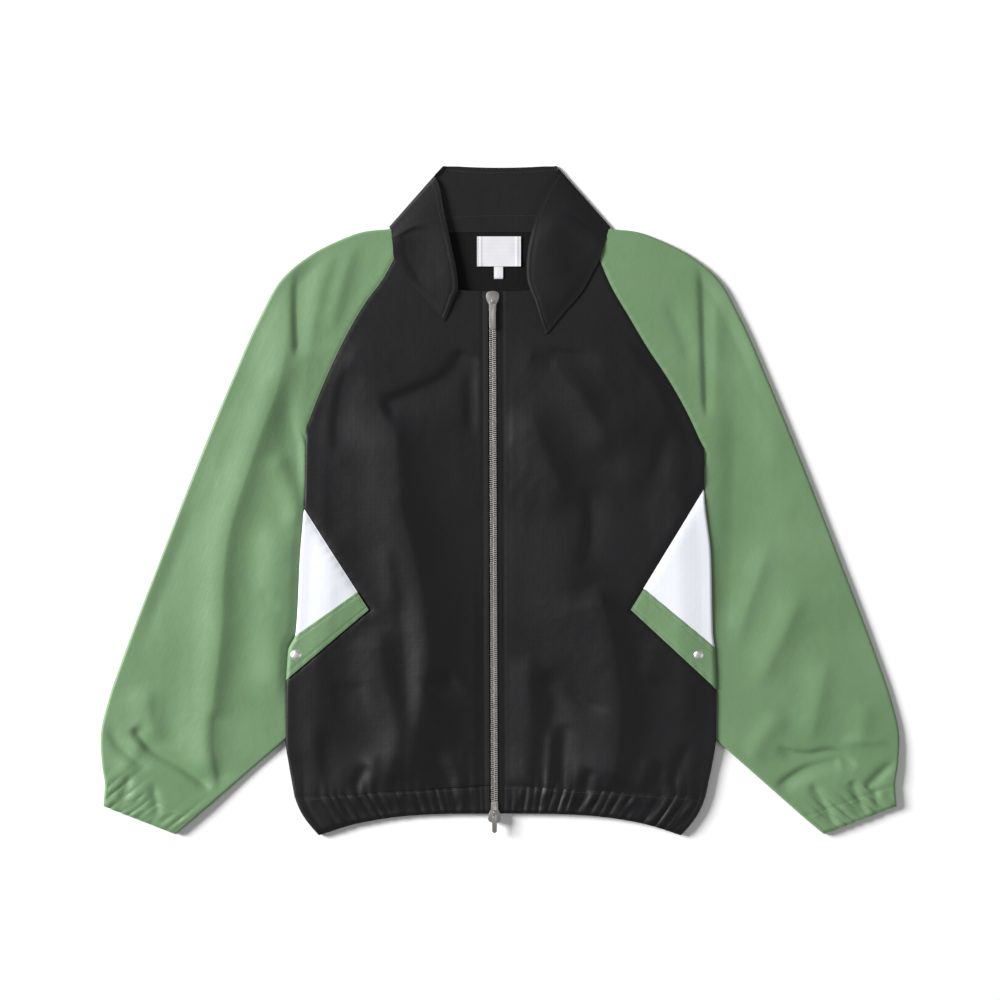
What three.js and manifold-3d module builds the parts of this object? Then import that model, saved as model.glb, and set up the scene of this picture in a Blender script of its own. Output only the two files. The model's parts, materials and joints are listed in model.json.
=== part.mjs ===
// A raglan track jacket laid flat on a table with its front up.
// Millimetres: +X is the viewer's right, +Y points to the collar, +Z rises from the table top at z = 0.
// "left" and "right" are the viewer's. The outline is alike on both sides, and x is often measured
// outward from the middle line, so that one function makes both halves.
import * as THREE from 'three';
import { mergeVertices } from 'three/addons/utils/BufferGeometryUtils.js';
import Module from 'manifold-3d';

// Cloth
const CLOTH = 1.2;
const COLLAR_CLOTH = 1.6;
const WELT_CLOTH = 2.0;
const SEAM = 0.3;
const HALF_SEAM = SEAM / 2;
const WELT_END_GAP = 1.6;

// Levels of the outer faces above the table
const FRONT_TOP = 6.5;
const SIDE_RISE = 3.3;
const HEM_RISE = 2.6;
const BACK_LIFT = 4.9;
const SIDE_SEAM_LEVEL = 7.35;
const HEM_SEAM_LEVEL = 5;
const LEAF_TOP = 8.6;

// Lengths
const NECK_FRONT_Y = 241.5;
const NECK_BACK_Y = 309.6;
const HEM_CENTRE_Y = -359.4;
const CASING_CENTRE_Y = -326.6;
const CASING_SIDE = [236.5, -340.4];
const HEM_CORNER = [208.7, -384.7];
const SIDE_FOLD_WIDTH = 5;
const SLEEVE_FOLD_WIDTH = 7;
const SLEEVE_SEAM_WIDTH = 5;
const SLEEVE_TUCK = 8;
const BACK_RAGLAN_TOP = [106, NECK_BACK_Y];
const NECK_DIP = 12;

// Zip
const ZIP_TOP_X = -8.6;
const ZIP_BOTTOM_X = -6.3;
const FRONT_EDGE_FROM_ZIP = 5.5;
const CHAIN_HALF_WIDTH = 3.8;
const CHAIN_DEPTH = 2.4;
const TAPE_INNER = 4.1;
const TAPE_OUTER = 15;
const TAPE_DEPTH = 1.0;

// Gathers: waves along one casing, half of their height, grid steps in a wave, and the plain cloth at an end
const HEM_FRONT_GATHERS = { waves: 12, height: 2.1, steps: 4, plainEnd: 14 };
const HEM_BACK_GATHERS = { waves: 24, height: 1.5, steps: 4, plainEnd: 14 };
const CUFF_GATHERS = { waves: 8, height: 1.5, steps: 4, plainEnd: 12 };

const BLACK = { color: '#26262b', roughness: 0.72, metalness: 0 };
const GREEN = { color: '#7b9b71', roughness: 0.7, metalness: 0 };
const WHITE = { color: '#e2e6ea', roughness: 0.7, metalness: 0 };
const METAL = { color: '#c9ccc9', roughness: 0.3, metalness: 0.9 };
const CHAIN_METAL = { color: '#8f8c8a', roughness: 0.4, metalness: 0.85 };

// One side of the jacket: its armpit, its front raglan seam from the armpit to the collar corner, its white
// insert and its welt, as x outward and y.
const SIDES = {
  left: {
    sign: -1,
    armpit: [222, 87],
    raglan: [[222, 87], [209, 120.8], [193, 157.6], [174.8, 194.4], [153, 231], [135.7, 254], [121.9, 279]],
    insertTop: [226, -8],
    weltInner: [150.7, -125.4],
    weltOuterTop: -156,
    weltOuterBottom: -206.7,
    snap: [234.2, -177],
  },
  right: {
    sign: 1,
    armpit: [234.6, 60],
    raglan: [[234.6, 60], [215, 102.4], [194.4, 139], [170, 176], [148, 212.8], [119.6, 254], [115, 277]],
    insertTop: [234.6, 13.8],
    weltInner: [150, -125.4],
    weltOuterTop: -169,
    weltOuterBottom: -217.4,
    snap: [227.7, -177],
  },
};

// Where the insert's foot meets the welt, along the line from the welt's inner corner to the insert's top
const INSERT_FOOT = 0.175;

// The body's side edge, x outward at each height
const BODY_SIDE = [
  { y: 90, left: 222, right: 226 },
  { y: 60, left: 224, right: 234.6 },
  { y: 10, left: 224.8, right: 235.2 },
  { y: -63, left: 230, right: 242.7 },
  { y: -152, left: 235, right: 245 },
  { y: -172, left: 243.8, right: 247.3 },
  { y: -210, left: 246.1, right: 249 },
  { y: -275, left: 246.7, right: 248.4 },
  { y: -302, left: 243.2, right: 244.4 },
  { y: -341, left: 236.5, right: 236.5 },
];

// The sleeve's outer fold from the collar to the cuff's edge, and the lower edge of the hem
const SLEEVE_OUTLINE = [
  [125.4, 313.4], [160, 309.4], [185, 300.2], [220.2, 281.8], [252.4, 254.2], [276, 212.8], [308.8, 139.2],
  [346.7, 47.2], [389.9, -63.3], [431.8, -173.7], [450.8, -228.9], [459.4, -265.7], [458.3, -302.5],
  [454.8, -328], [456.6, -350.8],
];
const HEM_EDGE = [
  { x: 0, y: HEM_CENTRE_Y }, { x: 75, y: -360.4 }, { x: 110, y: -362.5 }, { x: 140, y: -366.5 },
  { x: 170, y: -372.5 }, { x: HEM_CORNER[0], y: HEM_CORNER[1] },
];
const ARMPIT_SECTION_Y = 124;
const CUFF_TOP_Y = -326.6;
const CUFF_TOP_OUTER_X = 454.8;
const SLEEVE_CORNER_Y = -268;
const CUFF_CORNER = [372.6, -383.5];
const CUFF_TOP_INNER = [348.6, -363.4];

// The collar's leaves from the tip to the fold: where the leaf is sewn, and its free edge
const LEAVES = {
  left: [
    { seam: [65.2, 207.4], free: [63.6, 206.8], rise: 0 },
    { seam: [84.5, 229], free: [53.5, 233], rise: 0 },
    { seam: [104, 250], free: [48.3, 245], rise: 0 },
    { seam: [121.6, 279], free: [57.5, 300], rise: -0.4 },
    { seam: [123.1, 297], free: [68, 345], rise: -1.6 },
  ],
  right: [
    { seam: [53.8, 192.4], free: [52, 191.8], rise: 0 },
    { seam: [71.3, 213.9], free: [41.5, 226], rise: 0 },
    { seam: [95.5, 242.7], free: [31, 256.5], rise: 0 },
    { seam: [114.4, 277.3], free: [33, 294.4], rise: -0.4 },
    { seam: [119.5, 296], free: [50, 352], rise: -1.6 },
  ],
};
const COLLAR_TOP = [66, 384.1];
const COLLAR_BASE = [125.4, 314.2];
const COLLAR_SAG = 4;
const COLLAR_FOLD = 5;
const COLLAR_FOLD_LEVEL = 2.58;
const COLLAR_CORNER_SLOPE = 0.3;

// Large folds: ridges have a height above the cloth, troughs a negative one
const BODY_FOLDS = [
  { from: [-83, -105], to: [-79, -174], width: 12, height: 2.6 },
  { from: [-79, -174], to: [-99, -254], width: 12, height: 3.6 },
  { from: [-99, -254], to: [-104, -322], width: 11, height: 2.6 },
  { from: [-110, -125], to: [-114, -300], width: 10, height: -1.8 },
  { from: [-56, -140], to: [-66, -300], width: 16, height: -1.6 },
  { from: [-138, 112], to: [-48, 160], width: 9, height: -2 },
  { from: [-98, 98], to: [-92, -45], width: 17, height: -1.5 },
  { from: [-150, 70], to: [-146, -70], width: 24, height: 1.6 },
  { from: [42, 178], to: [122, 158], width: 8, height: -1.8 },
  { from: [60, 140], to: [112, 62], width: 12, height: 1.8 },
  { from: [88, 40], to: [104, -60], width: 13, height: -1.4 },
  { from: [52, -183], to: [82, -217], width: 8, height: -1.7 },
  { from: [82, -217], to: [126, -235], width: 8, height: -1.5 },
  { from: [148, -172], to: [140, -318], width: 15, height: -2 },
  { from: [104, -236], to: [98, -318], width: 15, height: 2.2 },
  { from: [42, -265], to: [38, -322], width: 8, height: 1.8 },
  { from: [180, -300], to: [208, -240], width: 12, height: 1.8 },
];
const SLEEVE_FOLDS = [
  { from: [-232, 262], to: [-230, 178], width: 9, height: -1.8 },
  { from: [-230, 178], to: [-236, 112], width: 9, height: -1.4 },
  { from: [-309, -61], to: [-290, -125], width: 14, height: -1.8 },
  { from: [-290, -125], to: [-322, -206], width: 14, height: -1.8 },
  { from: [-322, -206], to: [-326, -310], width: 14, height: -1.5 },
  { from: [-268, 80], to: [-268, 10], width: 14, height: -1.2 },
  { from: [-350, -20], to: [-378, -150], width: 20, height: 1.8 },
  { from: [-418, -266], to: [-356, -312], width: 8, height: -1.6 },
  { from: [234, 262], to: [232, 190], width: 9, height: -1.8 },
  { from: [232, 190], to: [246, 118], width: 9, height: -1.4 },
  { from: [300, 30], to: [340, -110], width: 18, height: 1.8 },
  { from: [300, -150], to: [318, -250], width: 14, height: -1.8 },
  { from: [326, -290], to: [392, -302], width: 8, height: -1.7 },
  { from: [392, -180], to: [410, -290], width: 14, height: 1.6 },
];

// Folds fade out towards the zip, the side edge and the casing
const FOLD_FREE_ZIP = 10;
const FOLD_FREE_SIDE = 30;
const FOLD_FREE_CASING = 16;
const TAPE_COVER = TAPE_OUTER - FRONT_EDGE_FROM_ZIP;

const clamp01 = (value) => Math.min(1, Math.max(0, value));
const smooth = (value) => {
  const t = clamp01(value);
  return t * t * (3 - 2 * t);
};
// 0 up to the last share of a run from 0 to 1, then rising to 1 at its end
const endShare = (at, share) => smooth((at - 1 + share) / share);
const mix = (a, b, t) => a + (b - a) * t;
const mixPoint = (a, b, t) => [mix(a[0], b[0], t), mix(a[1], b[1], t)];
const distance = (a, b) => Math.hypot(b[0] - a[0], b[1] - a[1]);

function readTable(table, key, column, at) {
  const rising = table[0][key] < table[1][key];
  let row = 1;
  while (row < table.length - 1 && (rising ? table[row][key] < at : table[row][key] > at)) row += 1;
  const low = table[row - 1];
  const high = table[row];
  const t = clamp01((at - low[key]) / (high[key] - low[key]));
  return mix(low[column], high[column], t);
}

const bodySide = (side, y) => readTable(BODY_SIDE, 'y', side, y);
const hemEdgeY = (x) => readTable(HEM_EDGE, 'x', 'y', Math.abs(x));
const casingTopY = (x) => mix(CASING_CENTRE_Y, CASING_SIDE[1], Math.abs(x) / CASING_SIDE[0]);
const zipX = (y) => mix(ZIP_BOTTOM_X, ZIP_TOP_X, (y - HEM_CENTRE_Y) / (NECK_FRONT_Y - HEM_CENTRE_Y));

// 1 at the edge of a rounded fold, 0 where the cloth lies level again
function foldDrop(fromEdge, width) {
  const along = 1 - clamp01(fromEdge / width);
  return 1 - Math.sqrt(Math.max(0, 1 - along * along));
}

function foldHeight(folds, x, y) {
  let height = 0;
  for (const fold of folds) {
    const dx = fold.to[0] - fold.from[0];
    const dy = fold.to[1] - fold.from[1];
    const along = clamp01(((x - fold.from[0]) * dx + (y - fold.from[1]) * dy) / (dx * dx + dy * dy));
    const away = Math.hypot(x - fold.from[0] - along * dx, y - fold.from[1] - along * dy) / fold.width;
    height += fold.height * Math.exp(-away * away);
  }
  return height;
}

// The body's margin is lifted below the armpit, where it lies over the sleeve. A blend is the length over
// which one level passes into the next.
const ARMPIT_BLEND = 25;
const LIFT_BLEND = 40;
const FRONT_LIFT_ABOVE_ARMPIT = 15;
const BACK_LIFT_BELOW_ARMPIT = 5;
const LIFT_END_Y = -325;
const FRONT_MARGIN = { width: 75, blend: 60 };
const BACK_MARGIN = { width: 12, blend: 14 };
const HEM_RISE_TOP_Y = -278;
const HEM_RISE_BLEND = 48;
const belowArmpit = (side, y) => SIDES[side].armpit[1] - y;
const marginLow = (y) => smooth((y - LIFT_END_Y) / LIFT_BLEND);
const frontLift = (side, y) => (
  smooth((belowArmpit(side, y) + FRONT_LIFT_ABOVE_ARMPIT) / LIFT_BLEND) * marginLow(y));
const backLift = (side, y) => (
  smooth((belowArmpit(side, y) - BACK_LIFT_BELOW_ARMPIT) / ARMPIT_BLEND) * marginLow(y));
const seamClosing = (side, y) => smooth(belowArmpit(side, y) / ARMPIT_BLEND);
const sideSeamLevel = (side, y) => mix(HEM_SEAM_LEVEL, SIDE_SEAM_LEVEL, frontLift(side, y));
const hemRise = (y) => smooth((HEM_RISE_TOP_Y - y) / HEM_RISE_BLEND);
const centreTop = (y) => FRONT_TOP + HEM_RISE * hemRise(y);

// The outer face of the front half, above a place given outward from the middle
function frontHeight(side, x, y) {
  const { sign } = SIDES[side];
  const edge = bodySide(side, y);
  const near = frontLift(side, y) * smooth((x - edge + FRONT_MARGIN.width) / FRONT_MARGIN.blend);
  const base = FRONT_TOP + SIDE_RISE * near + HEM_RISE * hemRise(y) * (1 - near);
  const fromZip = Math.abs(sign * x - zipX(y)) - FRONT_EDGE_FROM_ZIP;
  const calm = smooth((fromZip - TAPE_COVER) / FOLD_FREE_ZIP) * smooth((edge - x) / FOLD_FREE_SIDE)
    * smooth((y - CASING_CENTRE_Y) / FOLD_FREE_CASING);
  const level = base + calm * foldHeight(BODY_FOLDS, sign * x, y);
  const drop = seamClosing(side, y) * foldDrop(edge - x, SIDE_FOLD_WIDTH);
  return mix(level, sideSeamLevel(side, y) + HALF_SEAM, drop);
}

// The outer face of the back half, which is its underside
function backHeight(side, x, y) {
  const fromEdge = bodySide(side, y) - x;
  const inMargin = 1 - smooth((fromEdge - BACK_MARGIN.width) / BACK_MARGIN.blend);
  const level = BACK_LIFT * backLift(side, y) * inMargin;
  const drop = seamClosing(side, y) * foldDrop(fromEdge, SIDE_FOLD_WIDTH);
  return mix(level, sideSeamLevel(side, y) - HALF_SEAM, drop);
}

// A closed body between an outer grid of points and the same grid moved inward
function wallBetween(outer, inner, rows, columns, flipped) {
  const count = rows * columns;
  const at = (row, column) => row * columns + column;
  const triangles = [];
  const add = (a, b, c) => (flipped ? triangles.push(a, c, b) : triangles.push(a, b, c));
  const edge = (p, q) => {
    add(q, p, p + count);
    add(q, p + count, q + count);
  };
  for (let row = 0; row < rows - 1; row += 1) {
    for (let column = 0; column < columns - 1; column += 1) {
      const [a, b] = [at(row, column), at(row + 1, column)];
      const [c, d] = [at(row + 1, column + 1), at(row, column + 1)];
      add(a, b, c);
      add(a, c, d);
      add(a + count, c + count, b + count);
      add(a + count, d + count, c + count);
    }
    edge(at(row, 0), at(row + 1, 0));
    edge(at(row + 1, columns - 1), at(row, columns - 1));
  }
  for (let column = 0; column < columns - 1; column += 1) {
    edge(at(rows - 1, column), at(rows - 1, column + 1));
    edge(at(0, column + 1), at(0, column));
  }
  const geometry = new THREE.BufferGeometry();
  const positions = [...outer, ...inner].flatMap((point) => point.toArray());
  geometry.setAttribute('position', new THREE.Float32BufferAttribute(positions, 3));
  geometry.setIndex(triangles);
  return geometry;
}

// The direction of pointAt's change along one of its two numbers, from both sides of the place
function direction(pointAt, place, axis, last) {
  const step = 1e-5 * last;
  const here = pointAt(...place);
  const total = new THREE.Vector3();
  for (const sign of [-1, 1]) {
    const moved = [...place];
    moved[axis] += sign * step;
    if (moved[axis] < 0 || moved[axis] > last) continue;
    total.add(pointAt(...moved).sub(here).multiplyScalar(sign).normalize());
  }
  return total.normalize();
}

// A cloth wall over pointAt(row, column), whose outer face looks up (+1) or down (-1) a quarter of the way
// across. Rows and columns are rising lists that start at 0.
function clothWall(pointAt, rows, columns, thickness, facing) {
  const lastRow = rows[rows.length - 1];
  const lastColumn = columns[columns.length - 1];
  const normalAt = (row, column) => {
    const along = direction(pointAt, [row, column], 0, lastRow);
    return along.cross(direction(pointAt, [row, column], 1, lastColumn)).normalize();
  };
  const sample = normalAt(rows[rows.length >> 1], columns[columns.length >> 2]);
  const turn = Math.sign(sample.z) * facing;
  const outer = [];
  const inner = [];
  for (const row of rows) {
    for (const column of columns) {
      const point = pointAt(row, column);
      outer.push(point);
      inner.push(point.clone().addScaledVector(normalAt(row, column), -turn * thickness));
    }
  }
  return wallBetween(outer, inner, rows.length, columns.length, turn < 0);
}

// A cloth wall over a height above the table. planAt(row, column) gives a place, and heightAt(x, y) its
// outer face there.
function heightWall(planAt, heightAt, rows, columns, thickness, facing) {
  const step = 1e-3;
  const outer = [];
  const inner = [];
  for (const row of rows) {
    for (const column of columns) {
      const [x, y] = planAt(row, column);
      const inward = x < 0 ? step : -step;
      const z = heightAt(x, y);
      const slopeX = (heightAt(x + inward, y) - z) / inward;
      const slopeY = (heightAt(x, y + step) - heightAt(x, y - step)) / (2 * step);
      const normal = new THREE.Vector3(-slopeX, -slopeY, 1).normalize();
      outer.push(new THREE.Vector3(x, y, z));
      inner.push(new THREE.Vector3(x, y, z).addScaledVector(normal, -facing * thickness));
    }
  }
  const [here, next] = [outer[0], outer[columns.length - 1]];
  const above = outer[columns.length];
  const turn = (above.x - here.x) * (next.y - here.y) - (above.y - here.y) * (next.x - here.x);
  return wallBetween(outer, inner, rows.length, columns.length, turn * facing < 0);
}

// The same for a plain grid of points, whose normals come from the neighbouring points
function clothGrid(grid, thickness, facing) {
  const rows = grid.length;
  const columns = grid[0].length;
  const pointAt = (row, column) => grid[row][column];
  const between = (after, before) => after.clone().sub(before);
  const normals = grid.map((points, row) => points.map((point, column) => {
    const below = pointAt(Math.min(row + 1, rows - 1), column);
    const next = pointAt(row, Math.min(column + 1, columns - 1));
    const along = between(below, pointAt(Math.max(row - 1, 0), column));
    return along.cross(between(next, pointAt(row, Math.max(column - 1, 0)))).normalize();
  }));
  const turn = Math.sign(normals[rows >> 1][columns >> 1].z) * facing;
  const outer = grid.flat();
  const inner = grid.flatMap((points, row) => points.map((point, column) => (
    point.clone().addScaledVector(normals[row][column], -turn * thickness))));
  return wallBetween(outer, inner, rows, columns, turn < 0);
}

const countUp = (steps) => Array.from({ length: steps + 1 }, (_, index) => index);
const fractions = (steps) => countUp(steps).map((index) => index / steps);

function splinePoints(points, steps) {
  const curve = new THREE.SplineCurve(points.map(([x, y]) => new THREE.Vector2(x, y)));
  curve.arcLengthDivisions = 400;
  return fractions(steps).map((t) => curve.getPointAt(t).toArray());
}

const RAGLAN_STEPS = 7;
for (const side of Object.values(SIDES)) side.raglanPoints = splinePoints(side.raglan, RAGLAN_STEPS);

// Heights at which the side seam is divided on the front and the back alike
const BELOW_ARMPIT = [8, 16, 24, 32];
const ABOVE_CASING = [-325, -312, -298, -285];

// The outline of one front from the casing up to the collar corner, outward points with their seam gaps
function frontStations(side) {
  const { armpit, raglanPoints, insertTop, weltInner, weltOuterBottom } = SIDES[side];
  const onSide = (y) => ({ point: [bodySide(side, y), y], gap: 0 });
  const weltOuter = [bodySide(side, weltOuterBottom), weltOuterBottom];
  const straight = (from, to, steps) => fractions(steps).slice(1)
    .map((t) => ({ point: mixPoint(from, to, t), gap: HALF_SEAM }));
  return [
    ...[CASING_SIDE[1] + HALF_SEAM, ...ABOVE_CASING, -245, weltOuterBottom - SEAM].map(onSide),
    ...straight(weltOuter, weltInner, 5),
    ...straight(weltInner, insertTop, 5),
    ...[...BELOW_ARMPIT].reverse().map((drop) => onSide(armpit[1] - drop)).filter(({ point }) => (
      point[1] > insertTop[1] + 4)),
    ...raglanPoints.map((point) => ({ point, gap: HALF_SEAM })),
  ];
}

const FRONT_COLUMNS = [0, 0.08, 0.18, 0.3, 0.42, 0.54, 0.66, 0.78, 0.89, 0.978, 0.993, 1];
const NECK_DIP_ROWS = 5;

const frontTop = (side) => (x, y) => frontHeight(side, Math.abs(x), y);

function front(side) {
  const { sign } = SIDES[side];
  const stations = frontStations(side);
  const lengths = stations.map((_, index) => (
    index ? distance(stations[index - 1].point, stations[index].point) : 0));
  const total = lengths.reduce((sum, length) => sum + length, 0);
  let walked = 0;
  const centreYs = lengths.map((length) => {
    walked += length;
    return mix(CASING_CENTRE_Y + HALF_SEAM, NECK_FRONT_Y, walked / total);
  });
  const outerPoints = stations.map(({ point, gap }) => [point[0] - gap, point[1]]);
  const last = stations.length - 1;
  const planAt = (row, column) => {
    const [outerX, outerY] = outerPoints[row];
    const centreY = centreYs[row];
    const centreX = sign * zipX(centreY) + FRONT_EDGE_FROM_ZIP;
    const neckDip = NECK_DIP * Math.sin(Math.PI * column) * smooth(1 - (last - row) / NECK_DIP_ROWS);
    return [sign * mix(centreX, outerX, column), mix(centreY, outerY, column) - neckDip];
  };
  return heightWall(planAt, frontTop(side), countUp(last), FRONT_COLUMNS, CLOTH, 1);
}

const INSERT_ROWS = [0.03, 0.12, 0.25, 0.4, 0.55, 0.7, 0.85, 1];
const INSERT_COLUMNS = [0, 0.3, 0.6, 0.85, 0.96, 1];

// The white triangle between the front, the side edge and the welt
function insert(side) {
  const { sign, insertTop, weltInner, weltOuterTop } = SIDES[side];
  const foot = mixPoint(weltInner, insertTop, INSERT_FOOT);
  const planAt = (row, column) => {
    const [innerX, innerY] = mixPoint(insertTop, foot, row);
    const outerY = mix(insertTop[1], weltOuterTop, row) + SEAM * row;
    const edge = bodySide(side, outerY);
    return [sign * mix(innerX + SEAM, edge, column), mix(innerY + SEAM * row, outerY, column)];
  };
  return heightWall(planAt, frontTop(side), INSERT_ROWS, INSERT_COLUMNS, CLOTH, 1);
}

const WELT_ROWS = [0, 0.25, 0.5, 0.75, 1];
const WELT_COLUMNS = [0, 0.15, 0.35, 0.55, 0.75, 0.9, 0.97, 1];
const WELT_END_SHARE = 0.2;
const WELT_EDGE_WIDTH = 6;

// The welt is one thickness of folded cloth, raised above the panels beside it
function welt(side) {
  const { sign, insertTop, weltInner, weltOuterTop, weltOuterBottom } = SIDES[side];
  const foot = mixPoint(weltInner, insertTop, INSERT_FOOT);
  const [topY, bottomY] = [weltOuterTop - HALF_SEAM, weltOuterBottom + WELT_END_GAP];
  const outerTop = [bodySide(side, topY), topY];
  const outerBottom = [bodySide(side, bottomY), bottomY];
  const raised = WELT_CLOTH - CLOTH;
  const planAt = (row, column) => {
    const [endX, endY] = mixPoint(outerBottom, outerTop, row);
    const inner = mixPoint([weltInner[0] + SEAM, weltInner[1] + SEAM], [foot[0] + SEAM, foot[1]], row);
    const [x, y] = mixPoint(inner, [endX, endY], column);
    const towardsSide = (bodySide(side, endY) - endX) * endShare(column, WELT_END_SHARE);
    return [sign * (x + towardsSide), y];
  };
  const top = frontTop(side);
  const heightAt = (x, y) => top(x, y) + raised * smooth((bodySide(side, y) - Math.abs(x)) / WELT_EDGE_WIDTH);
  return heightWall(planAt, heightAt, WELT_ROWS, WELT_COLUMNS, WELT_CLOTH, 1);
}

// Distances from the side edge at which the back panel is divided
const BACK_COLUMNS = [0, 1, 2.6, 5, 12, 17, 22, 28, 80, 150];
const BACK_LEVELS = [-210, -130, -50];
const CASING_SAG_ROWS = 5;
const BACK_RAGLAN_STEPS = 4;

function backPanel() {
  const stationsOf = (side) => {
    const { armpit } = SIDES[side];
    const onSide = (y) => [bodySide(side, y), y];
    const raglanFoot = [armpit[0] - HALF_SEAM, armpit[1]];
    return [
      ...[CASING_SIDE[1] + HALF_SEAM, ...ABOVE_CASING, ...BACK_LEVELS].map(onSide),
      ...[...BELOW_ARMPIT].reverse().map((drop) => onSide(armpit[1] - drop)),
      ...fractions(BACK_RAGLAN_STEPS).map((t) => mixPoint(raglanFoot, BACK_RAGLAN_TOP, t)),
    ];
  };
  const left = stationsOf('left');
  const right = stationsOf('right');
  const steps = BACK_COLUMNS.length;
  const planAt = (row, column) => {
    const [leftX, leftY] = left[row];
    const [rightX, rightY] = right[row];
    const place = steps - Math.abs(column - steps);
    const side = column < steps ? 'left' : 'right';
    const edge = side === 'left' ? leftX : rightX;
    const inward = place < steps ? Math.min(BACK_COLUMNS[place], edge * place / (steps + 1)) : edge;
    const x = SIDES[side].sign * (edge - inward);
    const across = (x + leftX) / (leftX + rightX);
    const casingSag = Math.max(0, casingTopY(x) - CASING_SIDE[1]) * smooth(1 - row / CASING_SAG_ROWS);
    return [x, mix(leftY, rightY, across) + casingSag];
  };
  const heightAt = (x, y) => backHeight(x < 0 ? 'left' : 'right', Math.abs(x), y);
  return heightWall(planAt, heightAt, countUp(left.length - 1), countUp(2 * steps), CLOTH, -1);
}

// Places around a sleeve: inner fold, top, outer fold, underside, inner fold
const AROUND = [
  { width: 'seam', from: 0, to: 45 }, { width: 'seam', from: 45, to: 90 },
  { flat: [0, 0.25] }, { flat: [0.25, 0.5] }, { flat: [0.5, 0.75] }, { flat: [0.75, 1] },
  { width: 'fold', from: 90, to: 45 }, { width: 'fold', from: 45, to: 0 },
  { width: 'fold', from: 0, to: -45 }, { width: 'fold', from: -45, to: -90 },
  { flat: [1, 0.5] }, { flat: [0.5, 0] },
  { width: 'seam', from: -90, to: -45 }, { width: 'seam', from: -45, to: 0 },
];

const SEAM_COLUMNS = 2;
const OUTER_FOLD_COLUMN = 8;

// The distance from the inner edge, and how far the wall stands from the middle level towards its full height
function placeAround(at, length) {
  const index = Math.min(Math.floor(at), AROUND.length - 1);
  const part = AROUND[index];
  const t = at - index;
  if (part.flat) {
    const flat = mix(part.flat[0], part.flat[1], t);
    return { inward: mix(SLEEVE_SEAM_WIDTH, length - SLEEVE_FOLD_WIDTH, flat), stand: 1 };
  }
  const angle = THREE.MathUtils.degToRad(mix(part.from, part.to, t));
  const stand = Math.abs(Math.sin(angle));
  if (part.width === 'seam') return { inward: SLEEVE_SEAM_WIDTH * (1 - Math.cos(angle)), stand };
  return { inward: length - SLEEVE_FOLD_WIDTH * (1 - Math.cos(angle)), stand };
}

// Rows of a sleeve below the armpit, by their distance along the inner edge
const SLEEVE_ROWS = [12, 25, 36, 48, 62, 100, 150, 200, 250, 300, 345, 382, 420, 455, 485];
const ROW_CLEARANCE = 12;
const OUTLINE_STEPS = 1200;

// Below the armpit the sleeve's inner edge passes under the body's margin. Lengths run down from the armpit,
// and shares are of the arm's length.
const TUCK_START = 28;
const TUCK_BLEND = 34;
const CLOSING_LENGTH = 24;
const CUFF_RISE_SHARE = 0.18;
const INNER_LOW = 2.3;
const INNER_LOW_SHARE = 0.15;
const INNER_MARGIN = { width: 8, blend: 27 };
const SLEEVE_FOLD_FREE = 22;
const FOLD_FREE_SHARE = 0.08;

function sleeveStations(side) {
  const { armpit, raglanPoints } = SIDES[side];
  const outline = new THREE.SplineCurve(SLEEVE_OUTLINE.map(([x, y]) => new THREE.Vector2(x, y)));
  outline.arcLengthDivisions = OUTLINE_STEPS;
  const places = fractions(OUTLINE_STEPS).map((t) => outline.getPointAt(t).toArray());
  const fractionAt = (y) => {
    const index = places.findIndex((place) => place[1] <= y);
    const [before, after] = [places[index - 1][1], places[index][1]];
    return (index - 1 + (before - y) / (before - after)) / OUTLINE_STEPS;
  };
  const armpitAt = fractionAt(ARMPIT_SECTION_Y);
  const cuffAt = fractionAt(CUFF_TOP_Y);
  const shoulder = [...raglanPoints].reverse().map((point, index) => {
    const t = index / RAGLAN_STEPS;
    const [backX, backY] = mixPoint(BACK_RAGLAN_TOP, armpit, t);
    const back = [backX + SEAM, backY];
    const outer = outline.getPointAt(armpitAt * t).toArray();
    return { front: [point[0] + HALF_SEAM, point[1]], back, outer, closed: 0, arm: 0 };
  });
  const sideLength = armpit[1] - SLEEVE_CORNER_Y;
  const corner = [bodySide(side, SLEEVE_CORNER_Y) - SLEEVE_TUCK, SLEEVE_CORNER_Y];
  const total = sideLength + distance(corner, CUFF_TOP_INNER);
  const rows = SLEEVE_ROWS.filter((row) => (
    total - row > ROW_CLEARANCE && Math.abs(row - sideLength) > ROW_CLEARANCE));
  const arm = [...rows, sideLength, total].sort((a, b) => a - b).map((row) => {
    const y = armpit[1] - row;
    const tucked = 1 - (1 + SLEEVE_TUCK) * smooth((row - TUCK_START) / TUCK_BLEND);
    const inner = row <= sideLength
      ? [bodySide(side, y) + tucked, y]
      : mixPoint(corner, CUFF_TOP_INNER, (row - sideLength) / (total - sideLength));
    const outer = outline.getPointAt(mix(armpitAt, cuffAt, row / total)).toArray();
    return { front: inner, back: inner, outer, closed: smooth(row / CLOSING_LENGTH), arm: row / total };
  });
  return [...shoulder, ...arm];
}

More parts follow.
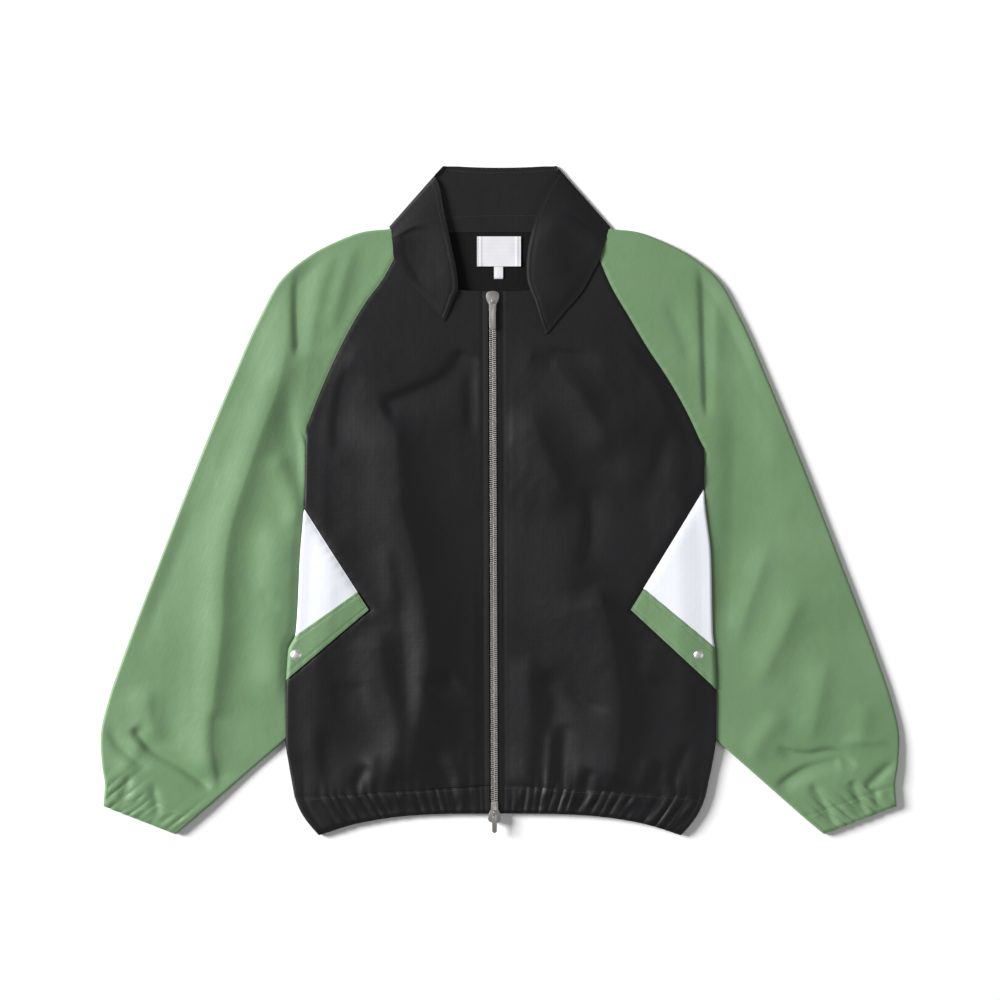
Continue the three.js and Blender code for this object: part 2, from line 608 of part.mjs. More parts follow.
function sleeve(side) {
  const { sign } = SIDES[side];
  const stations = sleeveStations(side);
  const last = stations.length - 1;
  const pointAt = (row, column) => {
    const index = Math.min(Math.floor(row), last - 1);
    const [a, b] = [stations[index], stations[index + 1]];
    const t = row - index;
    const onTop = column <= OUTER_FOLD_COLUMN;
    const inner = onTop ? mixPoint(a.front, b.front, t) : mixPoint(a.back, b.back, t);
    const outer = mixPoint(a.outer, b.outer, t);
    const closed = mix(a.closed, b.closed, t);
    const arm = mix(a.arm, b.arm, t);
    const length = distance(inner, outer);
    const { inward, stand } = placeAround(column, length);
    const [x, y] = mixPoint(inner, outer, inward / length);
    const underMargin = 1 - smooth((inward - INNER_MARGIN.width) / INNER_MARGIN.blend);
    const seamLow = INNER_LOW * closed * smooth((1 - arm) / INNER_LOW_SHARE) * underMargin;
    const level = FRONT_TOP + HEM_RISE * endShare(arm, CUFF_RISE_SHARE) - seamLow;
    const calm = smooth(inward / SLEEVE_FOLD_FREE) * smooth((length - inward) / SLEEVE_FOLD_FREE)
      * smooth((1 - arm) / FOLD_FREE_SHARE);
    const full = onTop ? level + calm * foldHeight(SLEEVE_FOLDS, sign * x, y) : 0;
    const atSeam = column < SEAM_COLUMNS || column > AROUND.length - SEAM_COLUMNS;
    const seam = atSeam ? (onTop ? HALF_SEAM : -HALF_SEAM) : 0;
    const z = mix(full, level / 2 + seam, (1 - stand) * (atSeam ? closed : 1));
    return new THREE.Vector3(sign * x, y, z);
  };
  return clothWall(pointAt, countUp(last), countUp(AROUND.length), CLOTH, 1);
}

// Gathers rise from nothing at the seam to their full height, and a casing's edge is rounded
const GATHER_GROWTH = 0.35;
const ROUNDED_SHARE = 0.2;
const CASING_ROWS = [0, 0.4, 1];
const gather = ({ waves }, along) => Math.cos(2 * Math.PI * waves * along);
const gatherHeight = ({ height }, row) => height * smooth(row / GATHER_GROWTH);
const CUFF_EDGE_ROUNDING = 0.8;

function cuff(side) {
  const { sign } = SIDES[side];
  const outerTop = [CUFF_TOP_OUTER_X, CUFF_TOP_Y];
  const outerBottom = SLEEVE_OUTLINE[SLEEVE_OUTLINE.length - 1];
  const seamShare = SEAM / distance(CUFF_TOP_INNER, CUFF_CORNER);
  const steps = CUFF_GATHERS.waves * CUFF_GATHERS.steps;
  const pointAt = (row, column) => {
    const down = mix(seamShare, 1, row);
    const inner = mixPoint(CUFF_TOP_INNER, CUFF_CORNER, down);
    const outer = mixPoint(outerTop, outerBottom, down);
    const length = distance(inner, outer);
    const onTop = column <= steps;
    const along = onTop ? column / steps : 2 - column / steps;
    const inward = along * length;
    const [x, y] = mixPoint(inner, outer, along);
    const { plainEnd } = CUFF_GATHERS;
    const ends = smooth(inward / plainEnd) * smooth((length - inward) / plainEnd);
    const size = gatherHeight(CUFF_GATHERS, row) * ends;
    const wave = size * gather(CUFF_GATHERS, along);
    const level = FRONT_TOP + HEM_RISE - CUFF_EDGE_ROUNDING * endShare(row, ROUNDED_SHARE);
    const drop = Math.max(foldDrop(inward, SLEEVE_SEAM_WIDTH), foldDrop(length - inward, SLEEVE_FOLD_WIDTH));
    const seam = (onTop ? 1 : -1) * HALF_SEAM * (along < 0.5 ? 1 : 0);
    const z = mix((onTop ? level : size) + wave, level / 2 + seam, drop);
    return new THREE.Vector3(sign * x, y, z);
  };
  return clothWall(pointAt, CASING_ROWS, countUp(2 * steps), CLOTH, 1);
}

const CASING_BULGE = 4;
const HEM_EDGE_ROUNDING = 1.0;

// The back's gathers start beside the slider, which lies on them
const BACK_PLAIN_MIDDLE = 12;
const BACK_PLAIN_BLEND = 18;

// Plan place in the hem casing: across runs from the middle to the side, down from the seam to the edge
function casingPlace(side, middleX, across, down) {
  const topX = mix(middleX, CASING_SIDE[0], across);
  const bottomX = mix(middleX, HEM_CORNER[0], across);
  const bulge = CASING_BULGE * Math.sin(Math.PI * down) * across ** 8;
  const x = mix(topX, bottomX, down) + bulge;
  return [x, mix(casingTopY(topX) - HALF_SEAM, hemEdgeY(bottomX), down)];
}

function hemFront(side) {
  const { sign } = SIDES[side];
  const steps = HEM_FRONT_GATHERS.waves * HEM_FRONT_GATHERS.steps;
  const pointAt = (row, column) => {
    const across = column / steps;
    const centre = sign * zipX(CASING_CENTRE_Y) + FRONT_EDGE_FROM_ZIP;
    const [x, y] = casingPlace(side, centre, across, row);
    const width = CASING_SIDE[0] - centre;
    const fromEdge = (1 - across) * width;
    const pastTape = smooth((across * width - TAPE_COVER) / FOLD_FREE_ZIP);
    const plainEnds = pastTape * smooth(fromEdge / HEM_FRONT_GATHERS.plainEnd);
    const wave = gatherHeight(HEM_FRONT_GATHERS, row) * plainEnds * gather(HEM_FRONT_GATHERS, across);
    const level = FRONT_TOP + HEM_RISE - HEM_EDGE_ROUNDING * pastTape * endShare(row, ROUNDED_SHARE);
    const z = mix(level + wave, HEM_SEAM_LEVEL + HALF_SEAM, foldDrop(fromEdge, SIDE_FOLD_WIDTH));
    return new THREE.Vector3(sign * x, y, z);
  };
  return clothWall(pointAt, CASING_ROWS, countUp(steps), CLOTH, 1);
}

function hemBack() {
  const { waves, steps, plainEnd } = HEM_BACK_GATHERS;
  const half = waves * steps / 2;
  const pointAt = (row, column) => {
    const across = Math.abs(column - half) / half;
    const side = column < half ? 'left' : 'right';
    const [x, y] = casingPlace(side, 0, across, row);
    const fromEdge = (1 - across) * CASING_SIDE[0];
    const pastMiddle = smooth((across * CASING_SIDE[0] - BACK_PLAIN_MIDDLE) / BACK_PLAIN_BLEND);
    const size = gatherHeight(HEM_BACK_GATHERS, row) * pastMiddle * smooth(fromEdge / plainEnd);
    const wave = size * (1 + gather(HEM_BACK_GATHERS, across / 2));
    const z = mix(wave, HEM_SEAM_LEVEL - HALF_SEAM, foldDrop(fromEdge, SIDE_FOLD_WIDTH));
    return new THREE.Vector3(SIDES[side].sign * x, y, z);
  };
  return clothWall(pointAt, CASING_ROWS, countUp(2 * half), CLOTH, -1);
}

// The collar is one band. Its middle lies on the table with the inside up, and each end is folded over
// along a slanting line, so that two leaves lie on the fronts.
function collar() {
  const neckY = (x) => {
    const pastRaglan = clamp01((x - BACK_RAGLAN_TOP[0]) / (COLLAR_BASE[0] - BACK_RAGLAN_TOP[0]));
    return mix(NECK_BACK_Y + SEAM, COLLAR_BASE[1], pastRaglan);
  };
  const foldRow = (side, angle) => {
    const corner = SIDES[side].raglan[SIDES[side].raglan.length - 1];
    const tilt = THREE.MathUtils.degToRad(angle);
    const inward = COLLAR_FOLD * (1 - Math.cos(tilt));
    const z = COLLAR_FOLD_LEVEL * (1 + Math.sin(tilt));
    const above = angle > 0;
    const [besideX, besideY] = mixPoint(COLLAR_BASE, corner, inward / distance(COLLAR_BASE, corner));
    const seam = above
      ? [besideX - SEAM * smooth(inward), besideY]
      : [COLLAR_BASE[0] - inward, neckY(COLLAR_BASE[0] - inward)];
    const freeY = COLLAR_TOP[1] - (above ? COLLAR_CORNER_SLOPE * inward : 0);
    return { seam, free: [COLLAR_TOP[0] - inward, freeY], z, end: z };
  };
  const leafRows = (side) => LEAVES[side].map(({ seam, free, rise }) => (
    { seam: [seam[0] - SEAM, seam[1]], free, z: LEAF_TOP, end: LEAF_TOP + rise }));
  const foldRows = (side) => [90, 45, 0, -45, -90].map((angle) => foldRow(side, angle));
  const halfRows = (side) => [...leafRows(side), ...foldRows(side)];
  const backRows = [0.85, 0.6, 0.3].map((t) => {
    const seamX = t * (COLLAR_BASE[0] - COLLAR_FOLD);
    const freeX = t * (COLLAR_TOP[0] - COLLAR_FOLD);
    return { seam: [seamX, neckY(seamX)], free: [freeX, COLLAR_TOP[1]], z: 0, end: 0 };
  });
  const signed = (rows, sign) => rows.map((row) => (
    { ...row, seam: [sign * row.seam[0], row.seam[1]], free: [sign * row.free[0], row.free[1]] }));
  const centre = { seam: [0, NECK_BACK_Y + SEAM], free: [0, COLLAR_TOP[1]], z: 0, end: 0 };
  const rows = [
    ...signed([...halfRows('left'), ...backRows], -1),
    centre,
    ...signed([...halfRows('right'), ...backRows], 1).reverse(),
  ];
  const sag = (x) => COLLAR_SAG * Math.max(0, 1 - (x / COLLAR_TOP[0]) ** 2);
  const grid = rows.map(({ seam, free, z, end }) => fractions(4).map((t) => {
    const [x, y] = mixPoint(seam, free, t);
    const level = mix(z, end, t);
    const dip = z === 0 ? sag(free[0]) * t : 0;
    return new THREE.Vector3(x, y - dip, level);
  }));
  return clothGrid(grid, COLLAR_CLOTH, -1);
}

// A bar along the zip with a rectangular section between two offsets and two depths below the fronts
function zipBar(ys, near, far, top, bottom) {
  const positions = [];
  for (const y of ys) {
    const [x, z] = [zipX(y), centreTop(y)];
    positions.push(x + near, y, z - bottom, x + far, y, z - bottom);
    positions.push(x + far, y, z - top, x + near, y, z - top);
  }
  const triangles = [0, 1, 2, 0, 2, 3];
  const quad = (a, b, c, d) => triangles.push(a, b, c, a, c, d);
  for (let row = 0; row < ys.length - 1; row += 1) {
    for (let corner = 0; corner < 4; corner += 1) {
      const [a, b] = [row * 4 + corner, row * 4 + (corner + 1) % 4];
      quad(a, a + 4, b + 4, b);
    }
  }
  const end = (ys.length - 1) * 4;
  triangles.push(end, end + 2, end + 1, end, end + 3, end + 2);
  const geometry = new THREE.BufferGeometry();
  geometry.setAttribute('position', new THREE.Float32BufferAttribute(positions, 3));
  geometry.setIndex(triangles);
  return geometry;
}

// Heights at which a bar bends between the casing and the front
const ZIP_LEVELS = [-326, -314, -302, -290, -278];
const TAPE_DROP = CLOTH + 0.4;
const TAPE_END = 1;
const zipTape = (sign) => {
  const [near, far] = sign > 0 ? [TAPE_INNER, TAPE_OUTER] : [-TAPE_OUTER, -TAPE_INNER];
  const ys = [HEM_CENTRE_Y + TAPE_END, ...ZIP_LEVELS, NECK_FRONT_Y - TAPE_END];
  return zipBar(ys, near, far, TAPE_DROP, TAPE_DROP + TAPE_DEPTH);
};

// Slider: two plates joined by a post at the wide end, with an arch that holds the pull's pin
const SLIDER_LENGTH = 24.5;
const SLIDER_WIDE = 15;
const SLIDER_NARROW = 8.2;
const PLATE = 1.4;
const PLATE_CLEARANCE = 0.5;
const PIN_RADIUS = 0.9;
const PIN_ABOVE_PLATE = 1.6;
const ARCH_INNER = 1.5;
const ARCH_OUTER = 3.0;
const ARCH_WIDTH = 2.4;
const ARM_INNER = 1.8;
const ARM_OUTER = 3.3;
const PULL_DEPTH = 1.4;
const SLOT_REACH = 4.6;
const SHIELD = { tail: 2, waist: 9, shoulder: 14, head: 5 };
const POST = { width: 2.2, length: 3 };
const NECK_LENGTH = 3;
const LOWER_PLATE_TOP = TAPE_DROP + TAPE_DEPTH + PLATE_CLEARANCE;
const PIN_RISE = PLATE_CLEARANCE + PLATE + PIN_ABOVE_PLATE;

const wasm = await Module();
wasm.setup();

function toManifold(geometry) {
  const bare = geometry.clone();
  bare.deleteAttribute('normal');
  bare.deleteAttribute('uv');
  const merged = mergeVertices(bare, 1e-4);
  return new wasm.Manifold(new wasm.Mesh({
    numProp: 3,
    vertProperties: new Float32Array(merged.attributes.position.array),
    triVerts: new Uint32Array(merged.index.array),
  }));
}

function joined(...geometries) {
  const whole = geometries.map(toManifold).reduce((sum, next) => sum.add(next)).getMesh();
  const geometry = new THREE.BufferGeometry();
  geometry.setAttribute('position', new THREE.Float32BufferAttribute(whole.vertProperties, 3));
  geometry.setIndex([...whole.triVerts]);
  return geometry;
}

function extruded(shape, depth, curveSegments = 6) {
  return new THREE.ExtrudeGeometry(shape, { depth, bevelEnabled: false, curveSegments });
}

// Origin on the pull's pin, wide end towards +Y
function slider() {
  const half = SLIDER_LENGTH / 2;
  const [wide, narrow] = [SLIDER_WIDE / 2, SLIDER_NARROW / 2];
  const shield = new THREE.Shape();
  shield.moveTo(-narrow, -half + SHIELD.tail);
  shield.quadraticCurveTo(-narrow, -half, 0, -half);
  shield.quadraticCurveTo(narrow, -half, narrow, -half + SHIELD.tail);
  shield.lineTo(narrow, -half + SHIELD.waist);
  shield.quadraticCurveTo(wide, -half + SHIELD.shoulder, wide, half - SHIELD.head);
  shield.quadraticCurveTo(wide, half, 0, half);
  shield.quadraticCurveTo(-wide, half, -wide, half - SHIELD.head);
  shield.quadraticCurveTo(-wide, -half + SHIELD.shoulder, -narrow, -half + SHIELD.waist);
  const upper = extruded(shield, PLATE).translate(0, 0, -PIN_ABOVE_PLATE - PLATE);
  const lowerTop = -PIN_RISE - LOWER_PLATE_TOP;
  const lower = extruded(shield, PLATE).translate(0, 0, lowerTop - PLATE);
  const postHeight = PLATE + LOWER_PLATE_TOP + PLATE_CLEARANCE + PLATE / 2;
  const post = new THREE.BoxGeometry(POST.width, POST.length, postHeight);
  post.translate(0, half - POST.length, lowerTop - PLATE / 2 + postHeight / 2);
  const foot = PIN_ABOVE_PLATE + PLATE / 2;
  const arch = new THREE.Shape();
  arch.moveTo(ARCH_OUTER, -foot);
  arch.lineTo(ARCH_OUTER, 0);
  arch.absarc(0, 0, ARCH_OUTER, 0, Math.PI, false);
  arch.lineTo(-ARCH_OUTER, -foot);
  arch.lineTo(-ARCH_INNER, -foot);
  arch.lineTo(-ARCH_INNER, 0);
  arch.absarc(0, 0, ARCH_INNER, Math.PI, 0, true);
  arch.lineTo(ARCH_INNER, -foot);
  const bail = extruded(arch, ARCH_WIDTH, 8).translate(0, 0, -ARCH_WIDTH / 2);
  bail.rotateX(Math.PI / 2).rotateZ(Math.PI / 2);
  return joined(upper, lower, post, bail);
}

// Origin on the pin, tab towards -Y
function pull(reach, tabWidth) {
  const half = tabWidth / 2;
  const fork = new THREE.Shape();
  fork.moveTo(-ARM_OUTER, PIN_RADIUS);
  fork.lineTo(-ARM_OUTER, -SLOT_REACH);
  fork.lineTo(-half, -SLOT_REACH - NECK_LENGTH);
  fork.lineTo(-half, -reach + half);
  fork.absarc(0, -reach + half, half, Math.PI, 2 * Math.PI, false);
  fork.lineTo(half, -SLOT_REACH - NECK_LENGTH);
  fork.lineTo(ARM_OUTER, -SLOT_REACH);
  fork.lineTo(ARM_OUTER, PIN_RADIUS);
  fork.lineTo(ARM_INNER, PIN_RADIUS);
  fork.lineTo(ARM_INNER, -SLOT_REACH);
  fork.lineTo(-ARM_INNER, -SLOT_REACH);
  fork.lineTo(-ARM_INNER, PIN_RADIUS);
  const tab = extruded(fork, PULL_DEPTH, 8).translate(0, 0, -PULL_DEPTH / 2);
  const pinLength = ARM_INNER + ARM_OUTER;
  const pin = new THREE.CylinderGeometry(PIN_RADIUS, PIN_RADIUS, pinLength, 16).rotateZ(Math.PI / 2);
  return joined(tab, pin);
}

function snap() {
  const profile = [[0, 0], [6, 0], [6.2, 0.5], [5.4, 1.3], [3, 2], [0, 2.2]];
  return new THREE.LatheGeometry(profile.map(([x, y]) => new THREE.Vector2(x, y)), 20).rotateX(Math.PI / 2);
}

const jacket = new THREE.Group();

function add(name, geometry, look, place = [0, 0, 0], turn = 0) {
  const mesh = new THREE.Mesh(geometry, new THREE.MeshStandardMaterial(look));
  mesh.name = name;
  mesh.position.set(...place);
  mesh.rotation.z = turn;
  jacket.add(mesh);
}

add('back_panel', backPanel(), BLACK);
for (const side of Object.keys(SIDES)) {
  add(`front_${side}`, front(side), BLACK);
  add(`insert_${side}`, insert(side), WHITE);
  add(`welt_${side}`, welt(side), GREEN);
  add(`sleeve_${side}`, sleeve(side), GREEN);
  add(`cuff_${side}`, cuff(side), GREEN);
  add(`hem_front_${side}`, hemFront(side), BLACK);
  const { sign, snap: [snapX, snapY] } = SIDES[side];
  const snapZ = frontHeight(side, snapX, snapY) + WELT_CLOTH - CLOTH + SEAM;
  add(`snap_${side}`, snap(), METAL, [sign * snapX, snapY, snapZ]);
  add(`zip_tape_${side}`, zipTape(sign), BLACK);
}
add('hem_back', hemBack(), BLACK);
add('collar', collar(), BLACK);

// Labels on the inside of the back, just below the back neck seam
const LABEL = { width: 50.5, height: 34.5, depth: 0.6, x: -1.2, top: 304.8 };
const SIZE_TAB = { width: 10.4, height: 17, depth: 0.6, x: -1.7 };
const labelZ = CLOTH + SEAM + LABEL.depth / 2;
const labelBottom = LABEL.top - LABEL.height;
add('label', new THREE.BoxGeometry(LABEL.width, LABEL.height, LABEL.depth), WHITE,
  [LABEL.x, LABEL.top - LABEL.height / 2, labelZ]);
add('size_tab', new THREE.BoxGeometry(SIZE_TAB.width, SIZE_TAB.height, SIZE_TAB.depth), WHITE,
  [SIZE_TAB.x, labelBottom - SEAM - SIZE_TAB.height / 2, labelZ]);

// The chain ends inside both sliders
const CHAIN_INSIDE_SLIDER = 6;
const SLIDERS = [
  { name: 'top', y: NECK_FRONT_Y - SLIDER_LENGTH / 2, turn: 0, reach: 32, tab: 7 },
  { name: 'bottom', y: -357.7, turn: Math.PI, reach: 23.5, tab: 5.6 },
];
const chainEnd = SLIDER_LENGTH / 2 - CHAIN_INSIDE_SLIDER;
const chainYs = [SLIDERS[1].y - chainEnd, ...ZIP_LEVELS, SLIDERS[0].y + chainEnd];
add('zip_chain', zipBar(chainYs, -CHAIN_HALF_WIDTH, CHAIN_HALF_WIDTH, 0, CHAIN_DEPTH), CHAIN_METAL);
for (const { name, y, turn, reach, tab } of SLIDERS) {
  const place = [zipX(y), y, centreTop(y) + PIN_RISE];
  add(`slider_${name}`, slider(), METAL, place, turn);
  add(`pull_${name}`, pull(reach, tab), METAL, place);
}

export default jacket;
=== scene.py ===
# %% [markdown]
# # A raglan track jacket, laid flat
#
# This jacket is cut from thin nylon: black fronts, back, collar and hem, green raglan sleeves, cuffs and
# pocket welts, and a white triangle in each side. It lies on a pale floor and is seen from straight above.
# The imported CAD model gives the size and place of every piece. The script loads it first and then builds a
# finer piece for each CAD node, in the same place.

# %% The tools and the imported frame
import json
import math

import bmesh
import bpy
import numpy as np
from mathutils import Matrix, Vector, noise

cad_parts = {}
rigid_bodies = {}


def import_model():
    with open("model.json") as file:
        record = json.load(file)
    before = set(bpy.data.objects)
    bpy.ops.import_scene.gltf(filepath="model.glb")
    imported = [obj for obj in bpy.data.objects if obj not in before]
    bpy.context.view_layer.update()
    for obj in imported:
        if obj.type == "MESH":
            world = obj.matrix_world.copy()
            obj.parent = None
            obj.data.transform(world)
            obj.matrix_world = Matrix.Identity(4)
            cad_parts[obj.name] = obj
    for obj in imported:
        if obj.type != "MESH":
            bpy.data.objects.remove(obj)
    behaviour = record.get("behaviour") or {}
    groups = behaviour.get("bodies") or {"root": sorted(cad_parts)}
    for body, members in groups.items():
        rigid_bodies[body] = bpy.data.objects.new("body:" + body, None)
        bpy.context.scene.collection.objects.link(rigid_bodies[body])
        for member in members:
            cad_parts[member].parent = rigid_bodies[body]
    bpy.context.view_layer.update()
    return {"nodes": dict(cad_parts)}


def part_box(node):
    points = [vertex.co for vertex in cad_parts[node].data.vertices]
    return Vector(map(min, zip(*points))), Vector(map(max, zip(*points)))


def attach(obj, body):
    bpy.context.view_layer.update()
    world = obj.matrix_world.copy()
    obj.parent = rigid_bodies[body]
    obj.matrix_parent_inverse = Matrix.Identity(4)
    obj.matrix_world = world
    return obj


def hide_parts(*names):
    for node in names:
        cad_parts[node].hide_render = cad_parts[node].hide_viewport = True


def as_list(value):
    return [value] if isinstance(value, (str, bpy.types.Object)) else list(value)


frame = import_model()
MM = 0.001

# %% [markdown]
# ## Soft curves through short tables
#
# A garment is drawn with flowing lines. Each outline here is a short table of measured places, and a cubic
# curve is laid through them, so that a dense grid of cloth follows a soft line and not a row of corners.
# numpy works on all the points of a grid at once, which keeps the script fast.


# %% Blends and curves
def smooth(value):
    t = np.clip(value, 0, 1)
    return t * t * (3 - 2 * t)


def mix(a, b, t):
    return a + (b - a) * t


def end_share(at, share):
    return smooth((at - 1 + share) / share)


def flowing(places, values, level=False):
    """A cubic curve through a table. A level one never swings past the table's values."""
    x, y = np.array(places, float), np.array(values, float)
    if x[0] > x[-1]:
        x, y = x[::-1], y[::-1]
    slope = np.gradient(y, x)
    if level:
        steps = np.diff(y) / np.diff(x)
        same_way = steps[:-1] * steps[1:] > 0
        total = np.where(same_way, steps[:-1] + steps[1:], 1)
        slope[1:-1] = np.where(same_way, 2 * steps[:-1] * steps[1:] / total, 0)

    def read(at):
        at = np.clip(at, x[0], x[-1])
        i = np.clip(np.searchsorted(x, at) - 1, 0, len(x) - 2)
        run = x[i + 1] - x[i]
        t = (at - x[i]) / run
        start = (2 * t**3 - 3 * t**2 + 1) * y[i] + (t**3 - 2 * t**2 + t) * run * slope[i]
        return start + (3 * t**2 - 2 * t**3) * y[i + 1] + (t**3 - t**2) * run * slope[i + 1]

    return read


def path_length(points):
    return np.hypot(*np.diff(np.array(points, float)[:, :2], axis=0).T).sum()


def flowing_line(points):
    points = np.array(points, float)
    walked = np.concatenate([[0], np.cumsum(np.hypot(*np.diff(points, axis=0).T))])
    read_x, read_y = flowing(walked, points[:, 0]), flowing(walked, points[:, 1])
    return lambda t: np.stack([read_x(t * walked[-1]), read_y(t * walked[-1])], axis=-1)


def away_from(path, x, y):
    """Distance to a path, how far along it (0 to 1), and the side: 1 at its walker's left hand."""
    nearest = np.full(np.shape(x), 1e9)
    along = np.zeros(np.shape(x))
    side = np.ones(np.shape(x))
    walked = 0.0
    for (ax, ay), (bx, by) in zip(path, path[1:]):
        dx, dy = bx - ax, by - ay
        run = math.hypot(dx, dy)
        t = np.clip(((x - ax) * dx + (y - ay) * dy) / run**2, 0, 1)
        off_x, off_y = x - ax - t * dx, y - ay - t * dy
        away = np.hypot(off_x, off_y)
        closer = away < nearest
        nearest = np.where(closer, away, nearest)
        along = np.where(closer, walked + t * run, along)
        side = np.where(closer, np.sign(dx * off_y - dy * off_x), side)
        walked += run
    return nearest, along / walked, side


# %% [markdown]
# ## The jacket's measures
#
# All measures are in millimetres and are the ones that the CAD model was built from: x to the viewer's
# right, y towards the collar, z up from the floor. "left" and "right" are the viewer's. The two halves
# differ a little, as they do on any jacket that was laid down by hand.

# %% Measures of the panels
CLOTH = 0.8
SEAM = 0.3
FRONT_TOP, SIDE_RISE, HEM_RISE, BACK_LIFT = 6.5, 3.3, 2.6, 4.9
SIDE_SEAM_LEVEL, HEM_SEAM_LEVEL, LEAF_TOP = 7.35, 5.0, 8.6
NECK_FRONT_Y, NECK_BACK_Y = 241.5, 309.6
HEM_CENTRE_Y, CASING_CENTRE_Y = -359.4, -326.6
CASING_SIDE, HEM_CORNER = (236.5, -340.4), (208.7, -384.7)
SIDE_FOLD_WIDTH, SLEEVE_FOLD_WIDTH, SLEEVE_SEAM_WIDTH, SLEEVE_TUCK = 3.2, 3.2, 3, 8
BACK_RAGLAN_TOP = (106, NECK_BACK_Y)
NECK_DIP = 12
FRONT_EDGE_FROM_ZIP, PLACKET_STITCH = 5.5, 6.2
SEAM_ROLL, SLEEVE_TUCK_DROP = 0.9, 2.3
CASING_SEAM = 0.35

SIDES = {
    "left": {
        "sign": -1,
        "armpit": (222, 87),
        "raglan": [
            (222, 87), (209, 120.8), (193, 157.6), (174.8, 194.4), (153, 231), (135.7, 254), (121.9, 279),
        ],
        "insert_top": (226, -8),
        "welt_inner": (150.7, -125.4),
        "welt_outer_top": -156,
        "welt_outer_bottom": -206.7,
        "front_crumple": 2.0,
        "sleeve_crumple": 6.0,
    },
    "right": {
        "sign": 1,
        "armpit": (234.6, 60),
        "raglan": [
            (234.6, 60), (215, 102.4), (194.4, 139), (170, 176), (148, 212.8), (127, 249), (115, 277),
        ],
        "insert_top": (234.6, 13.8),
        "welt_inner": (150, -125.4),
        "welt_outer_top": -169,
        "welt_outer_bottom": -217.4,
        "front_crumple": 4.0,
        "sleeve_crumple": 8.0,
    },
}
BODY_SIDE_Y = [90, 60, 10, -63, -152, -172, -210, -275, -302, -341]
BODY_SIDE_X = {
    "left": [222, 224, 224.8, 230, 235, 243.8, 246.1, 246.7, 243.2, 236.5],
    "right": [226, 234.6, 235.2, 242.7, 245, 247.3, 249, 248.4, 244.4, 236.5],
}
body_side = {side: flowing(BODY_SIDE_Y, widths, level=True) for side, widths in BODY_SIDE_X.items()}
hem_edge = flowing([0, 75, 110, 140, 170, 208.7], [HEM_CENTRE_Y, -360.4, -362.5, -366.5, -372.5, -384.7])


def casing_top(x):
    return mix(CASING_CENTRE_Y, CASING_SIDE[1], np.abs(x) / CASING_SIDE[0])


def zip_x(y):
    return mix(-6.3, -8.6, (y - HEM_CENTRE_Y) / (NECK_FRONT_Y - HEM_CENTRE_Y))


raglan_line = {side: flowing_line(facts["raglan"]) for side, facts in SIDES.items()}
raglan_path = {side: line(np.linspace(0, 1, 25)).tolist() for side, line in raglan_line.items()}
print("raglan seams:", {side: round(path_length(facts["raglan"])) for side, facts in SIDES.items()}, "mm")

# %% [markdown]
# ## Folds and creases
#
# Thin nylon holds a fold as a soft ridge or trough, and a few lines where it was pressed are sharper. Light
# falls on the jacket from the left, so a ridge that rises slowly and drops steeply shows a broad light band
# beside a narrow dark one. Every main fold is listed one by one: how high it is, how wide on its left and on
# its right hand, and the line that it follows. A pair of widths is for the line's start and end. Listing
# them one by one was chosen over a cloth simulation, because a simulation makes its own folds, and not these.


# %% A fold, and the height of a set of folds at any place
def fold(height, left, right, *path, sharp=1.9, fade=0.3):
    """sharp is 2 for a soft swell and 1.3 for a pressed line, and its pair is for the left and right hand.
    fade is the share of each end that dies out."""
    left, right, sharp, fade = [
        each if isinstance(each, tuple) else (each, each) for each in (left, right, sharp, fade)
    ]
    line = flowing_line(path)(np.linspace(0, 1, 4 * len(path)))
    return {"line": line, "height": height, "left": left, "right": right, "sharp": sharp, "fade": fade}


def fold_height(folds, x, y):
    height = np.zeros(np.shape(x))
    for each in folds:
        reach = 2.4 * max(*each["left"], *each["right"])
        low, high = each["line"].min(axis=0) - reach, each["line"].max(axis=0) + reach
        near = (x > low[0]) & (x < high[0]) & (y > low[1]) & (y < high[1])
        if not near.any():
            continue
        away, along, side = away_from(each["line"], x[near], y[near])
        width = np.where(side > 0, mix(*each["left"], along), mix(*each["right"], along))
        fading = smooth(along / each["fade"][0]) * smooth((1 - along) / each["fade"][1])
        shape = np.exp(-((away / width) ** np.where(side > 0, *each["sharp"])))
        height[near] += each["height"] * fading * shape
    return height


